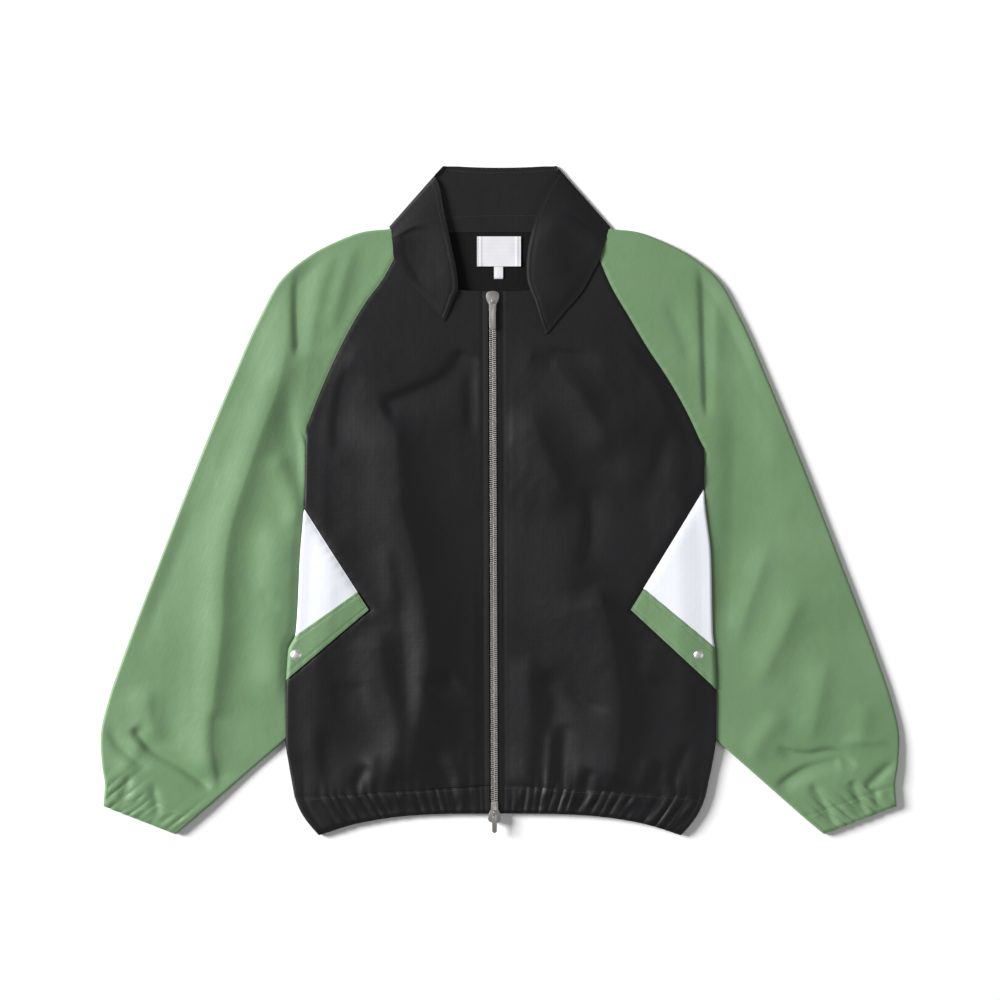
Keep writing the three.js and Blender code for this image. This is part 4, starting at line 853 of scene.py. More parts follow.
def insert_and_welt(side):
    facts = SIDES[side]
    sign = facts["sign"]
    top, inner = np.array(facts["insert_top"], float), np.array(facts["welt_inner"], float)
    foot = mix(inner, top, INSERT_FOOT)

    def insert_place(row, across):
        outer_y = mix(top[1], facts["welt_outer_top"] + 0.4, row)
        inner_x, inner_y = mix(top[0], foot[0], row), mix(top[1], foot[1], row)
        x = mix(inner_x, body_side[side](outer_y), across)
        y = mix(inner_y, outer_y, across)
        z = front_face(side, x, y) + seam_dent(insert_seam(side), x, y, SEAM_ROLL)
        return stack(sign * x, y, z)

    white = sheet_of_cloth(f"insert_{side}_cloth", insert_place, np.linspace(0.004, 1, 60), spread(34))
    stands_for(white, f"insert_{side}", white_nylon)

    bottom_y, top_y = facts["welt_outer_bottom"] + 0.8, facts["welt_outer_top"]

    def welt_place(row, across):
        outer_y = mix(bottom_y, top_y, row)
        start_x, start_y = mix(inner[0] + 0.3, foot[0] + 0.3, row), mix(inner[1] + 0.3, foot[1], row)
        x = mix(start_x, body_side[side](outer_y), across)
        y = mix(start_y, outer_y, across)
        folded = 0.5 * smooth(row / 0.1) * smooth((1 - row) / 0.1)
        stitched = -0.45 * sum(np.exp(-(((row - level) / 0.05) ** 2)) for level in WELT_STITCHES)
        pucker = 0.16 * np.sin(x / 2.3 + 1.5 * np.sin(x / 9)) * (1 - smooth(np.minimum(row, 1 - row) / 0.3))
        end = -0.5 * np.exp(-((across / 0.03) ** 2))
        relief = (folded + stitched + pucker) * smooth((1 - across) / 0.05)
        z = front_face(side, x, y, raised=1.0) + relief + end
        return stack(sign * x, y, z)

    cloth = {"grain": sign * WELT_GRAIN, "thickness": WELT_CLOTH}
    green = sheet_of_cloth(f"welt_{side}_cloth", welt_place, np.linspace(0, 1, 30), spread(60), **cloth)
    stands_for(green, f"welt_{side}", green_nylon)
    t = np.linspace(0.02, 0.96, 60)
    rows = [welt_place(np.full(60, level), t) + STITCH_LIFT for level in WELT_STITCHES]
    across_end = welt_place(np.linspace(*WELT_STITCHES, 12), np.full(12, 0.03)) + STITCH_LIFT
    sewn(f"welt_{side}_stitches", [*rows, across_end], green_thread)
    return white, green


inserts, welts = {}, {}
for side in SIDES:
    inserts[side], welts[side] = insert_and_welt(side)
print("inserts and welts:", [piece.name for piece in [*inserts.values(), *welts.values()]])

# %% [markdown]
# ## The sleeves
#
# A raglan sleeve is one piece of cloth from the neck to the cuff, closed by one seam under the arm. Laid
# flat it is a tube pressed to two layers. Its edge is rounded where it folds on the outside, and it slips
# under the body on the inside. The tube is a grid whose last column meets its first below the armpit, where
# the two are welded.

# %% The outline and the sections of a sleeve
SLEEVE_OUTLINE = [
    (125.4, 313.4), (160, 309.4), (185, 300.2), (220.2, 281.8), (252.4, 254.2), (276, 212.8), (308.8, 139.2),
    (346.7, 47.2), (389.9, -63.3), (431.8, -173.7), (450.8, -228.9), (459.4, -265.7), (458.3, -302.5),
    (454.8, -328), (456.6, -350.8),
]
ARMPIT_SECTION_Y, CUFF_TOP_Y, SLEEVE_CORNER_Y = 124, -326.6, -268
CUFF_CORNER, CUFF_TOP_INNER, CUFF_TOP_OUTER_X = (372.6, -383.5), (348.6, -363.4), 454.8
sleeve_outer = flowing_line(SLEEVE_OUTLINE)
outline_shares = np.linspace(0, 1, 2000)
outline_places = sleeve_outer(outline_shares)


def share_at_height(y):
    return float(np.interp(-y, -outline_places[:, 1], outline_shares))


def sleeve_sections(side, shoulder_rows=74, arm_rows=176):
    """Inner edge on the front and the back, outer edge, how far the tube is closed and is tucked under the
    body, and the share of the arm."""
    facts = SIDES[side]
    armpit = np.array(facts["armpit"], float)
    armpit_share, cuff_share = share_at_height(ARMPIT_SECTION_Y), share_at_height(CUFF_TOP_Y)
    t = np.linspace(0, 1, shoulder_rows)[:-1]
    front = raglan_line[side](1 - t)
    back = mix(np.array(BACK_RAGLAN_TOP), armpit, t[:, None])
    outer = sleeve_outer(armpit_share * t)
    zeros = np.zeros(len(t))
    side_length = armpit[1] - SLEEVE_CORNER_Y
    corner = np.array([float(body_side[side](SLEEVE_CORNER_Y)) - SLEEVE_TUCK, SLEEVE_CORNER_Y])
    last = path_length([corner, CUFF_TOP_INNER])
    total = side_length + last
    upper = np.linspace(0, total - 130, 96)
    walked = np.concatenate([upper, np.linspace(total - 130, total, arm_rows - 95)[1:]])
    y = armpit[1] - walked
    tucked = smooth((walked - 4) / 26)
    on_side = np.stack([body_side[side](y) - SLEEVE_TUCK * tucked, y], axis=-1)
    past = np.clip((walked - side_length) / last, 0, 1)[:, None]
    inner = np.where(walked[:, None] <= side_length, on_side, mix(corner, np.array(CUFF_TOP_INNER), past))
    arm_outer = sleeve_outer(mix(armpit_share, cuff_share, walked / total))
    return {
        "front": np.concatenate([front, inner]),
        "back": np.concatenate([back, inner]),
        "outer": np.concatenate([outer, arm_outer]),
        "closed": np.concatenate([zeros, smooth(walked / 24)]),
        "tucked": np.concatenate([zeros, tucked]),
        "arm": np.concatenate([zeros, walked / total]),
    }


# %% Around a sleeve: across runs 0 to 1 over the top and 1 to 2 back along the underside
SEAM_END, FOLD_START, SLEEVE_GRAIN = 0.07, 0.95, 22


def around(across, length):
    """Distance from the inner edge, and how much of its full height the wall has there."""
    at = np.where(across <= 1, across, 2 - across)
    seam_angle = np.clip(at / SEAM_END, 0, 1) * np.pi / 2
    fold_angle = np.clip((1 - at) / (1 - FOLD_START), 0, 1) * np.pi / 2
    flat = np.clip((at - SEAM_END) / (FOLD_START - SEAM_END), 0, 1)
    inward = mix(SLEEVE_SEAM_WIDTH, length - SLEEVE_FOLD_WIDTH, flat)
    inward = np.where(at < SEAM_END, SLEEVE_SEAM_WIDTH * (1 - np.cos(seam_angle)), inward)
    inward = np.where(at > FOLD_START, length - SLEEVE_FOLD_WIDTH * (1 - np.cos(fold_angle)), inward)
    stand = np.where(at < SEAM_END, np.sin(seam_angle), np.where(at > FOLD_START, np.sin(fold_angle), 1.0))
    return at < SEAM_END, inward, stand


def sleeve_columns(count):
    at_seam, flat = np.linspace(0, SEAM_END, 5), np.linspace(SEAM_END, FOLD_START, count)
    return np.concatenate([at_seam, flat[1:], np.linspace(FOLD_START, 1, 7)[1:]])


def sleeve_piece(side):
    sign = SIDES[side]["sign"]
    sections = sleeve_sections(side)
    seam_path = [(sign * px, py) for px, py in raglan_path[side]]

    def place(row, across):
        index = row.astype(int)
        on_top = across <= 1
        inner = np.where(on_top[:, None], sections["front"][index], sections["back"][index])
        outer = sections["outer"][index]
        closed, arm = sections["closed"][index], sections["arm"][index]
        run = outer - inner
        length = np.hypot(run[:, 0], run[:, 1])
        at_seam, inward, stand = around(across, length)
        x, y = (inner + run * (inward / length)[:, None]).T
        wx = sign * x
        low = SLEEVE_TUCK_DROP * sections["tucked"][index] * (1 - smooth((arm - 0.64) / 0.1))
        low = low * (1 - smooth((inward - 3) / 7))
        level = FRONT_TOP + HEM_RISE * end_share(arm, 0.18) - low
        to_cuff = np.maximum(0, (1 - arm) * 560)
        edges = smooth(inward / 20) * smooth((length - inward) / 20)
        folds = fold_height(SLEEVE_FOLDS, wx, y)
        fine = 0.8 * crumple(wx, y, SIDES[side]["sleeve_crumple"])
        gathered = CUFF_PUFF_HEIGHT * fading_puffs(inward, to_cuff, CUFF_PUFF, sign + 3.0)
        relief = held_above(folds + fine, SLEEVE_TROUGH_DEPTH) * edges
        relief = relief + gathered * smooth(inward / 8) * smooth((length - inward) / 8)
        relief = relief + seam_dent([seam_path], wx, y) * smooth((0.04 - arm) / 0.04)
        relief = relief - CASING_SEAM * np.exp(-((to_cuff / 3.0) ** 2))
        under = fold_height(UNDER_FOLDS, wx, y) * smooth(to_cuff / 40) + 0.6 * np.maximum(0, fine)
        under = under * smooth((inward - 30) / 30) * smooth((length - inward - 10) / 30)
        puffed = np.maximum(0, fading_puffs(inward, to_cuff, UNDER_CUFF_PUFF, sign + 5.0))
        under = under + 0.9 * puffed * edges
        full = np.where(on_top, level + relief, under)
        z = mix(full, level / 2, (1 - stand) * np.where(at_seam, closed, 1.0))
        return stack(wx, y, z)

    acrosses = np.concatenate([sleeve_columns(98), 2 - sleeve_columns(50)[::-1][1:]])
    rows = np.arange(len(sections["arm"]))
    grain = sign * SLEEVE_GRAIN
    piece = sheet_of_cloth(f"sleeve_{side}_cloth", place, rows, acrosses, grain=grain, weld=True)
    return stands_for(piece, f"sleeve_{side}", green_nylon)


sleeves = {side: sleeve_piece(side) for side in SIDES}
print("points in a sleeve:", {side: len(piece.data.vertices) for side, piece in sleeves.items()})

# %% [markdown]
# ## Cuffs
#
# The cuff is the turned end of the sleeve over a narrow elastic. Seen from above it is a short band of round
# puffs. It is one closed tube, open at the hand, and a row of stitches holds it to the sleeve.


# %% The cuffs
STITCH_DOWN = 0.1


def cuff_piece(side):
    sign = SIDES[side]["sign"]
    inner_top, inner_end = np.array(CUFF_TOP_INNER, float), np.array(CUFF_CORNER, float)
    outer_top, outer_end = np.array([CUFF_TOP_OUTER_X, CUFF_TOP_Y]), np.array(SLEEVE_OUTLINE[-1], float)

    def place(down, across):
        inner = mix(inner_top, inner_end, down[:, None])
        outer = mix(outer_top, outer_end, down[:, None])
        run = outer - inner
        length = np.hypot(run[:, 0], run[:, 1])
        on_top = across <= 1
        along = np.where(on_top, across, 2 - across)
        inward = along * length
        x, y = (inner + run * along[:, None]).T
        ends = smooth(inward / 9) * smooth((length - inward) / 9)
        grown = 1 + 0.3 * smooth(down / 0.4)
        wave = CUFF_PUFF_HEIGHT * grown * ends * puffs(inward, CUFF_PUFF, sign + 3.0)
        wave = wave * mix(1, 0.6 + 1.4 * noise_at(inward, down * 30, 21, 33.0 + sign), smooth(down / 0.4))
        creased = 0.9 * ends * noise_at(inward, down * 26, 7, 21.0, 2.0) * smooth(down / 0.3)
        fine = 0.8 * crumple(sign * x, y, SIDES[side]["sleeve_crumple"])
        from_sleeve = held_above(fold_height(SLEEVE_FOLDS, sign * x, y) + fine, SLEEVE_TROUGH_DEPTH)
        from_sleeve = from_sleeve * smooth(inward / 20) * smooth((length - inward) / 20)
        creased = creased + from_sleeve * (1 - 0.6 * smooth(down))
        round_edge = 1.6 * end_share(down, 0.16) + CASING_SEAM * np.exp(-((down / 0.12) ** 2))
        level = FRONT_TOP + HEM_RISE
        under = ends * (1 + 0.8 * puffs(inward, UNDER_CUFF_PUFF, sign + 5.0)) + 0.3
        drop = np.maximum(fold_drop(inward, SLEEVE_SEAM_WIDTH), fold_drop(length - inward, SLEEVE_FOLD_WIDTH))
        full = np.where(on_top, level + wave + creased - round_edge, np.maximum(0, under))
        z = mix(full, level / 2, drop)
        edge_wave = 0.35 * puffs(inward, CUFF_PUFF, sign + 3.0) * ends * end_share(down, 0.5)
        direction = (inner_end - inner_top) / np.linalg.norm(inner_end - inner_top)
        return stack(sign * (x + edge_wave * direction[0]), y + edge_wave * direction[1], z)

    half = spread(116, 0.7)
    acrosses = np.concatenate([half, 2 - half[::-1][1:]])
    downs, grain = np.linspace(0, 1, 20), sign * SLEEVE_GRAIN
    piece = sheet_of_cloth(f"cuff_{side}_cloth", place, downs, acrosses, grain=grain, weld=True)
    stands_for(piece, f"cuff_{side}", green_nylon)
    down, along = np.full(150, STITCH_DOWN), np.linspace(0.05, 0.94, 150)
    lines = [place(down, along) + STITCH_LIFT, place(down, 2 - along) - STITCH_LIFT]
    sewn(f"cuff_{side}_stitches", lines, green_thread)
    return piece


cuffs = {side: cuff_piece(side) for side in SIDES}
print("points in a cuff:", {side: len(piece.data.vertices) for side, piece in cuffs.items()})

# %% [markdown]
# ## The hem
#
# The hem is the same kind of casing, wider, in three pieces: one under each front and one across the back.
# The front pieces start beside the zip, where they are sewn flat, and the puffs begin past the tape.


# %% Plan of the hem casing
def casing_place(middle_x, across, down):
    top_x, bottom_x = mix(middle_x, CASING_SIDE[0], across), mix(middle_x, HEM_CORNER[0], across)
    x = mix(top_x, bottom_x, down) + 4 * np.sin(np.pi * down) * across**8
    return x, mix(casing_top(top_x), hem_edge(bottom_x), down), top_x


def hem_front_piece(side):
    sign = SIDES[side]["sign"]
    centre = sign * float(zip_x(CASING_CENTRE_Y)) + FRONT_EDGE_FROM_ZIP

    def place(down, across):
        x, y, top_x = casing_place(centre, across, down)
        from_edge = (1 - across) * (CASING_SIDE[0] - centre)
        past_tape = smooth((top_x - centre - 6) / 12)
        from_above = front_relief(side, top_x, casing_top(top_x)) * (1 + 0.2 * smooth(down / 0.4))
        own = 1.1 * BODY_PUFF_HEIGHT * past_tape * smooth(from_edge / 12)
        own = own * puffs(top_x, BODY_PUFF, sign + 2.0)
        own = own * (0.75 + 0.9 * noise_at(top_x, down * 34, 26, 27.0 + sign))
        wave = mix(from_above, own, smooth(down / 0.8))
        creased = 1.1 * past_tape * noise_at(top_x, down * 34, 8, 17.0 + sign, 2.4) * smooth(down / 0.25)
        round_edge = 1.6 * end_share(down, 0.14) + CASING_SEAM * np.exp(-((down / 0.09) ** 2))
        level = FRONT_TOP + HEM_RISE + wave + creased * smooth(from_edge / 12) - round_edge
        level = level + placket(top_x - centre)
        z = mix(level, HEM_SEAM_LEVEL + SEAM / 2, fold_drop(from_edge, SIDE_FOLD_WIDTH))
        return stack(sign * x, y, z)

    piece = sheet_of_cloth(f"hem_front_{side}_cloth", place, np.linspace(0, 1, 26), spread(200, 0.45))
    stands_for(piece, f"hem_front_{side}", black_nylon)
    row = place(np.full(260, STITCH_DOWN), np.linspace(0.02, 0.97, 260)) + STITCH_LIFT
    sewn(f"hem_front_{side}_stitches", [row], black_thread)
    return piece


def hem_back_piece():
    def place(down, across):
        share = np.abs(across)
        x, y, top_x = casing_place(0.0, share, down)
        sign = np.where(across < 0, -1.0, 1.0)
        from_edge = (1 - share) * CASING_SIDE[0]
        size = smooth((top_x - 12) / 18) * smooth(from_edge / 14)
        wave = 1.15 * size * (0.8 + 0.2 * smooth(down / 0.35)) * (puffs(top_x, UNDER_PUFF, sign + 7.0) + 1.1)
        round_edge = 0.9 * end_share(down, 0.14) * size
        drop = fold_drop(from_edge, SIDE_FOLD_WIDTH)
        z = mix(np.maximum(0, wave + round_edge), HEM_SEAM_LEVEL - SEAM / 2, drop)
        return stack(sign * x, y, z)

    half = spread(150, 0.45)
    acrosses = np.concatenate([-half[::-1], half[1:]])
    piece = sheet_of_cloth("hem_back_cloth", place, np.linspace(0, 1, 24), acrosses, up=False)
    return stands_for(piece, "hem_back", black_nylon)


hem_fronts = {side: hem_front_piece(side) for side in SIDES}
hem_back = hem_back_piece()
print("points in the hem:", sum(len(piece.data.vertices) for piece in [*hem_fronts.values(), hem_back]))

# %% [markdown]
# ## The back
#
# The back is one wide panel. Most of it is hidden, but its inside shows in the neck, where the label is
# sewn on, and its outside shows when the jacket is turned over. It lies flat on the floor, and its own
# folds rise from it.


# %% The back panel
def back_piece():
    def side_rows(side):
        armpit = SIDES[side]["armpit"]
        ys = np.linspace(CASING_SIDE[1], armpit[1], 120)
        on_side = np.stack([body_side[side](ys), ys], axis=-1)
        t = np.linspace(0, 1, 60)[1:, None]
        return np.concatenate([on_side, np.array(armpit) * (1 - t) + np.array(BACK_RAGLAN_TOP) * t])

    left, right = side_rows("left"), side_rows("right")
    last = len(left) - 1

    def place(row, across):
        index = row.astype(int)
        left_x, left_y = left[index].T
        right_x, right_y = right[index].T
        x = mix(-left_x, right_x, across)
        sag = np.maximum(0, casing_top(x) - CASING_SIDE[1]) * smooth(1 - index / 40)
        y = mix(left_y, right_y, across) + sag
        z = np.where(x < 0, back_face("left", -x, y), back_face("right", x, y))
        return stack(x, y, z)

    piece = sheet_of_cloth("back_cloth", place, np.arange(last + 1), spread(150, 0.75), up=False)
    # The whole back takes the darker black, which is painted shade for the inside of the neck.
    return stands_for(piece, "back_panel", black_nylon_matt_painted_shade)


back = back_piece()
print("points in the back:", len(back.data.vertices))

# %% [markdown]
# ## The collar
#
# The collar is one double band. Its middle lies with the inside up behind the neck, and each end is folded
# over along a slanting line, so that a leaf with a pointed tip lies on the front. The band is drawn from a
# list of cross lines, each from the neck seam to the free edge, and a soft curve joins them.

# %% Cross lines of the collar, from the left leaf's tip to the right one's
LEAVES = {
    "left": [
        {"seam": (65.2, 207.4), "free": (63.6, 206.8), "rise": 0},
        {"seam": (74.5, 217.6), "free": (58.2, 219.5), "rise": 0},
        {"seam": (84.5, 229), "free": (53.2, 233), "rise": 0},
        {"seam": (104, 250), "free": (48.3, 245), "rise": 0},
        {"seam": (113, 264), "free": (50.6, 268), "rise": -0.2},
        {"seam": (121.6, 279), "free": (55.6, 292), "rise": -0.4},
        {"seam": (123.1, 297), "free": (64.5, 334), "rise": -1.4},
    ],
    "right": [
        {"seam": (53.8, 192.4), "free": (52, 191.8), "rise": 0},
        {"seam": (62.5, 203), "free": (46.5, 209), "rise": 0},
        {"seam": (71.3, 213.9), "free": (41.5, 226), "rise": 0},
        {"seam": (95.5, 242.7), "free": (31, 256.5), "rise": 0},
        {"seam": (105, 260), "free": (30.8, 276), "rise": -0.2},
        {"seam": (114.4, 277.3), "free": (33, 294.4), "rise": -0.4},
        {"seam": (119.5, 296), "free": (50, 352), "rise": -1.6},
    ],
}
COLLAR_TOP, COLLAR_BASE = (65, 386.6), (127.2, 315.6)
LEAF_TOPS = {"left": (75.5, 374.0), "right": (68.0, 383.0)}
COLLAR_SAG, COLLAR_FOLD, COLLAR_FOLD_LEVEL = 2.5, 5, 2.58
COLLAR_STITCH, LEAF_SEAM_DROP, LEAF_SPRING, COLLAR_CLOTH = 6.0, 0.5, 1.5, 1.5
LEAF_FOLDS = [
    fold(-2.6, 24, 38, (-95, 236), (-95, 290), (-93, 350)),
    fold(2.0, 24, 26, (74, 206), (70, 240), (54, 292), (60, 345)),
]


def neck_y(x):
    past = np.clip((x - BACK_RAGLAN_TOP[0]) / (COLLAR_BASE[0] - BACK_RAGLAN_TOP[0]), 0, 1)
    return mix(NECK_BACK_Y, COLLAR_BASE[1], past)


def collar_lines():
    lines = []
    for side in SIDES:
        sign = SIDES[side]["sign"]
        corner = np.array(SIDES[side]["raglan"][-1], float)
        half = [(*leaf["seam"], *leaf["free"], LEAF_TOP, LEAF_TOP + leaf["rise"]) for leaf in LEAVES[side]]
        for angle in np.radians([90, 60, 30, 0, -30, -60, -90]):
            inward = COLLAR_FOLD * (1 - math.cos(angle))
            z = COLLAR_FOLD_LEVEL * (1 + math.sin(angle))
            beside = mix(np.array(COLLAR_BASE), corner, inward / path_length([COLLAR_BASE, corner]))
            seam = beside if angle > 0 else (COLLAR_BASE[0] - inward, float(neck_y(COLLAR_BASE[0] - inward)))
            free = (COLLAR_TOP[0] - inward, COLLAR_TOP[1] - 0.5)
            if angle > 0:
                free = LEAF_TOPS[side][0] - 0.6 * inward, LEAF_TOPS[side][1] - inward
            half.append((*seam, *free, z, z))
        for share in (0.85, 0.6, 0.3):
            seam_x = share * (COLLAR_BASE[0] - COLLAR_FOLD)
            free_x = share * (COLLAR_TOP[0] - COLLAR_FOLD)
            half.append((seam_x, float(neck_y(seam_x)), free_x, COLLAR_TOP[1], 0, 0))
        signed = [(sign * a, b, sign * c, d, e, f) for a, b, c, d, e, f in half]
        lines.append(signed)
    centre = [(0, NECK_BACK_Y, 0, COLLAR_TOP[1], 0, 0)]
    return np.array(lines[0] + centre + lines[1][::-1], float)


# %% The collar's cloth
def collar_piece():
    lines = collar_lines()
    seam_steps = np.hypot(np.diff(lines[:, 0]), np.diff(lines[:, 1]))
    free_steps = np.hypot(np.diff(lines[:, 2]), np.diff(lines[:, 3]))
    rises = 2.5 * np.abs(np.diff(lines[:, 4]))
    walked = np.concatenate([[0], np.cumsum(seam_steps + free_steps + rises)])
    readers = [flowing(walked, lines[:, axis]) for axis in range(6)]

    def place(along, across):
        seam_x, seam_y, free_x, free_y, seam_z, free_z = [read(along * walked[-1]) for read in readers]
        x, y = mix(seam_x, free_x, across), mix(seam_y, free_y, across)
        z = mix(seam_z, free_z, across)
        lying = 1 - smooth(z / 1.5)
        on_top = smooth((z - 7.4) / 0.8)
        y = y - lying * across * COLLAR_SAG * np.maximum(0, 1 - (free_x / COLLAR_TOP[0]) ** 2)
        length = np.hypot(free_x - seam_x, free_y - seam_y)
        from_seam, to_free = across * length, (1 - across) * length
        line = 0.25 * np.exp(-(((to_free - COLLAR_STITCH) / 1.6) ** 2))
        edge = -0.5 * np.exp(-((to_free / 2.0) ** 2)) - line
        calm = smooth(length / 30) * smooth(to_free / 6 + 0.2)
        relief = 0.7 * crumple(x, y, 12.0) * calm * smooth((1 - lying) + 0.2)
        relief = relief + fold_height(LEAF_FOLDS, x, y) * on_top * smooth(from_seam / 16)
        shaped = LEAF_SPRING * smooth(across) * smooth(length / 40)
        shaped = shaped - LEAF_SEAM_DROP * (1 - smooth(from_seam / 12))
        z = z + (relief + edge) * mix(-0.3, 1.0, on_top) * (0.4 + 0.6 * on_top) + shaped * on_top
        return stack(x, y, np.maximum(z, 0.0))

    alongs = np.linspace(0, 1, 330)
    piece = sheet_of_cloth("collar_cloth", place, alongs, spread(52, 0.5), thickness=COLLAR_CLOTH)
    stands_for(piece, "collar", black_nylon)
    sewn("collar_stitches", collar_rows(place), black_thread)
    return piece


def collar_rows(place):
    """The row beside the free edge, and the row inside the neck where the stand is sewn down."""
    along = np.linspace(0.03, 0.97, 420)
    seam, free = place(along, np.zeros(420)), place(along, np.ones(420))
    length = np.linalg.norm((free - seam)[:, :2], axis=1)
    edge_row = place(along, 1 - COLLAR_STITCH / np.maximum(length, 2 * COLLAR_STITCH))
    middle = np.linspace(0.37, 0.63, 160)
    stand_row = place(middle, 0.21 + 0.05 * np.sin(np.pi * (middle - 0.37) / 0.26))
    for row in (edge_row, stand_row):
        row[:, 2] += np.where(row[:, 2] < 3, COLLAR_CLOTH + 0.05, 0.1)
    return [edge_row, stand_row]


collar = collar_piece()
print("points in the collar:", len(collar.data.vertices))

# %% [markdown]
# ## The label
#
# A woven satin label is sewn inside the back neck, with a small folded tab for the size below it. Satin
# floats its threads over several others, so it is smoother and brighter than taffeta and has faint ribs
# across. Both are left blank. The side edges are turned under, so they stand a little higher, and each
# lower corner lifts.


# %% Satin, the label and its tab
RIB_SCALE = 1 / 0.0007 / 20


def satin():
    material, tree, shader = new_material("White polyester satin ribbon")
    place = add_node(tree, "ShaderNodeTexCoord").outputs["Object"]
    cloudy = add_node(tree, "ShaderNodeTexNoise", {"Scale": 60.0, "Detail": 2.0}, Vector=place)
    colour = add_node(tree, "ShaderNodeValToRGB", Fac=cloudy.outputs["Fac"])
    colour.color_ramp.elements[0].color = linear("#d0cfd4")
    colour.color_ramp.elements[1].color = linear("#e1e0e4")
    tree.links.new(colour.outputs["Color"], shader.inputs["Base Color"])
    ribs = {"Scale": RIB_SCALE, "bands_direction": "Y", "Distortion": 0.2}
    ribs = add_node(tree, "ShaderNodeTexWave", ribs, Vector=place)
    shallow = {"Strength": 0.3, "Distance": 0.0002}
    bump = add_node(tree, "ShaderNodeBump", shallow, Height=ribs.outputs["Fac"])
    tree.links.new(bump.outputs["Normal"], shader.inputs["Normal"])
    shader.inputs["Roughness"].default_value = 0.36
    shader.inputs["Sheen Weight"].default_value = 0.1
    return material


satin_ribbon = satin()
LABEL_LEFT, LABEL_RIGHT, LABEL_LOW, LABEL_HIGH, LABEL_LEVEL = -26.5, 24.0, 270.3, 304.8, 2.1
TAB_LEFT, TAB_RIGHT, TAB_LOW = -6.9, 3.5, 256.0
RIBBON = 0.45


def label_place(row, across):
    x, y = mix(LABEL_LEFT, LABEL_RIGHT, across), mix(LABEL_LOW, LABEL_HIGH, row)
    from_side = np.minimum(across, 1 - across) * (LABEL_RIGHT - LABEL_LEFT)
    turned = 0.35 * (1 - smooth((from_side - 5) / 1.2))
    stitched = -0.3 * np.exp(-(((from_side - 2) / 0.8) ** 2))
    lifted = 0.9 * smooth(1 - row / 0.3) * (0.4 + 0.6 * smooth(1 - from_side / 14))
    return stack(x, y, LABEL_LEVEL + turned + stitched + lifted + 0.25 * np.sin(np.pi * across))


def tab_place(row, across):
    x, y = mix(TAB_LEFT, TAB_RIGHT, across), mix(TAB_LOW, LABEL_LOW - 0.2, row)
    rolled = 0.5 * (1 - (1 - smooth(row / 0.12)) * 1.6) + 0.2 * np.sin(np.pi * across)
    return stack(x, y, LABEL_LEVEL - 0.3 + rolled)


def label_piece(name, node, place, rows, columns):
    piece = sheet_of_cloth(name, place, np.linspace(0, 1, rows), np.linspace(0, 1, columns), thickness=RIBBON)
    return stands_for(piece, node, satin_ribbon)


label = label_piece("label_ribbon", "label", label_place, 40, 70)
size_tab = label_piece("size_tab_ribbon", "size_tab", tab_place, 30, 20)
full = np.linspace(0.03, 0.97, 40)
label_rows = [label_place(full, np.full(40, end)) + STITCH_LIFT for end in (0.04, 0.96)]
sewn("label_stitches", label_rows, white_thread)
print("label:", round(LABEL_RIGHT - LABEL_LEFT, 1), "by", round(LABEL_HIGH - LABEL_LOW, 1), "mm")

# %% [markdown]
# ## The zip
#
# The zip is a metal one that opens from both ends. Each tooth is clamped over the corded edge of its tape,
# and the two rows interlock, half a pitch apart. A tooth is one block with broken edges, and all the teeth
# of both rows are copies of it in one piece. The outer half of each tape lies below its front.

# %% Metal finishes
def plated(name, dark, light, roughness):
    """Nickel plate over a die casting: smooth, slightly warm, and cloudy where hands have rubbed it."""
    material, tree, shader = new_material(name)
    place = add_node(tree, "ShaderNodeTexCoord").outputs["Object"]
    cloudy = add_node(tree, "ShaderNodeTexNoise", {"Scale": 220.0, "Detail": 3.0}, Vector=place)
    colour = add_node(tree, "ShaderNodeValToRGB", Fac=cloudy.outputs["Fac"])
    colour.color_ramp.elements[0].color = linear(dark)
    colour.color_ramp.elements[1].color = linear(light)
    tree.links.new(colour.outputs["Color"], shader.inputs["Base Color"])
    worn = {"To Min": roughness - 0.06, "To Max": roughness + 0.08}
    worn = add_node(tree, "ShaderNodeMapRange", worn, Value=cloudy.outputs["Fac"])
    tree.links.new(worn.outputs["Result"], shader.inputs["Roughness"])
    shallow = {"Strength": 0.08, "Distance": 0.0002}
    bump = add_node(tree, "ShaderNodeBump", shallow, Height=cloudy.outputs["Fac"])
    tree.links.new(bump.outputs["Normal"], shader.inputs["Normal"])
    shader.inputs["Metallic"].default_value = 1.0
    return material


bright_metal = plated("Nickel-plated die-cast zinc", "#d2cfcc", "#e6e4e1", 0.3)
chain_metal = plated("Nickel-plated brass teeth", "#dcd8d3", "#ebe7e2", 0.46)
satin_metal = plated("Satin nickel snap cap", "#e9e8e3", "#f5f4ef", 0.44)
print("metals:", bright_metal.name, chain_metal.name)

# %% Teeth
TOOTH_PITCH, TOOTH_SIZE, TOOTH_REACH = 2.4, (4.2, 1.3, 2.2), 3.8
CHAIN_LOW, CHAIN_HIGH = -361.5, 234.0


def tooth_mesh():
    bm = bmesh.new()
    bmesh.ops.create_cube(bm, size=1)
    bmesh.ops.scale(bm, verts=bm.verts, vec=Vector(TOOTH_SIZE) * MM)
    head = [vert for vert in bm.verts if vert.co.x < 0]
    bmesh.ops.scale(bm, verts=head, vec=(1, 0.8, 0.86))
    bevel = {"offset": 0.22 * MM, "segments": 1, "profile": 0.5, "affect": "EDGES", "material": -1}
    bmesh.ops.bevel(bm, geom=bm.edges[:], **bevel)
    mesh = bpy.data.meshes.new("tooth")
    bm.to_mesh(mesh)
    bm.free()
    return mesh


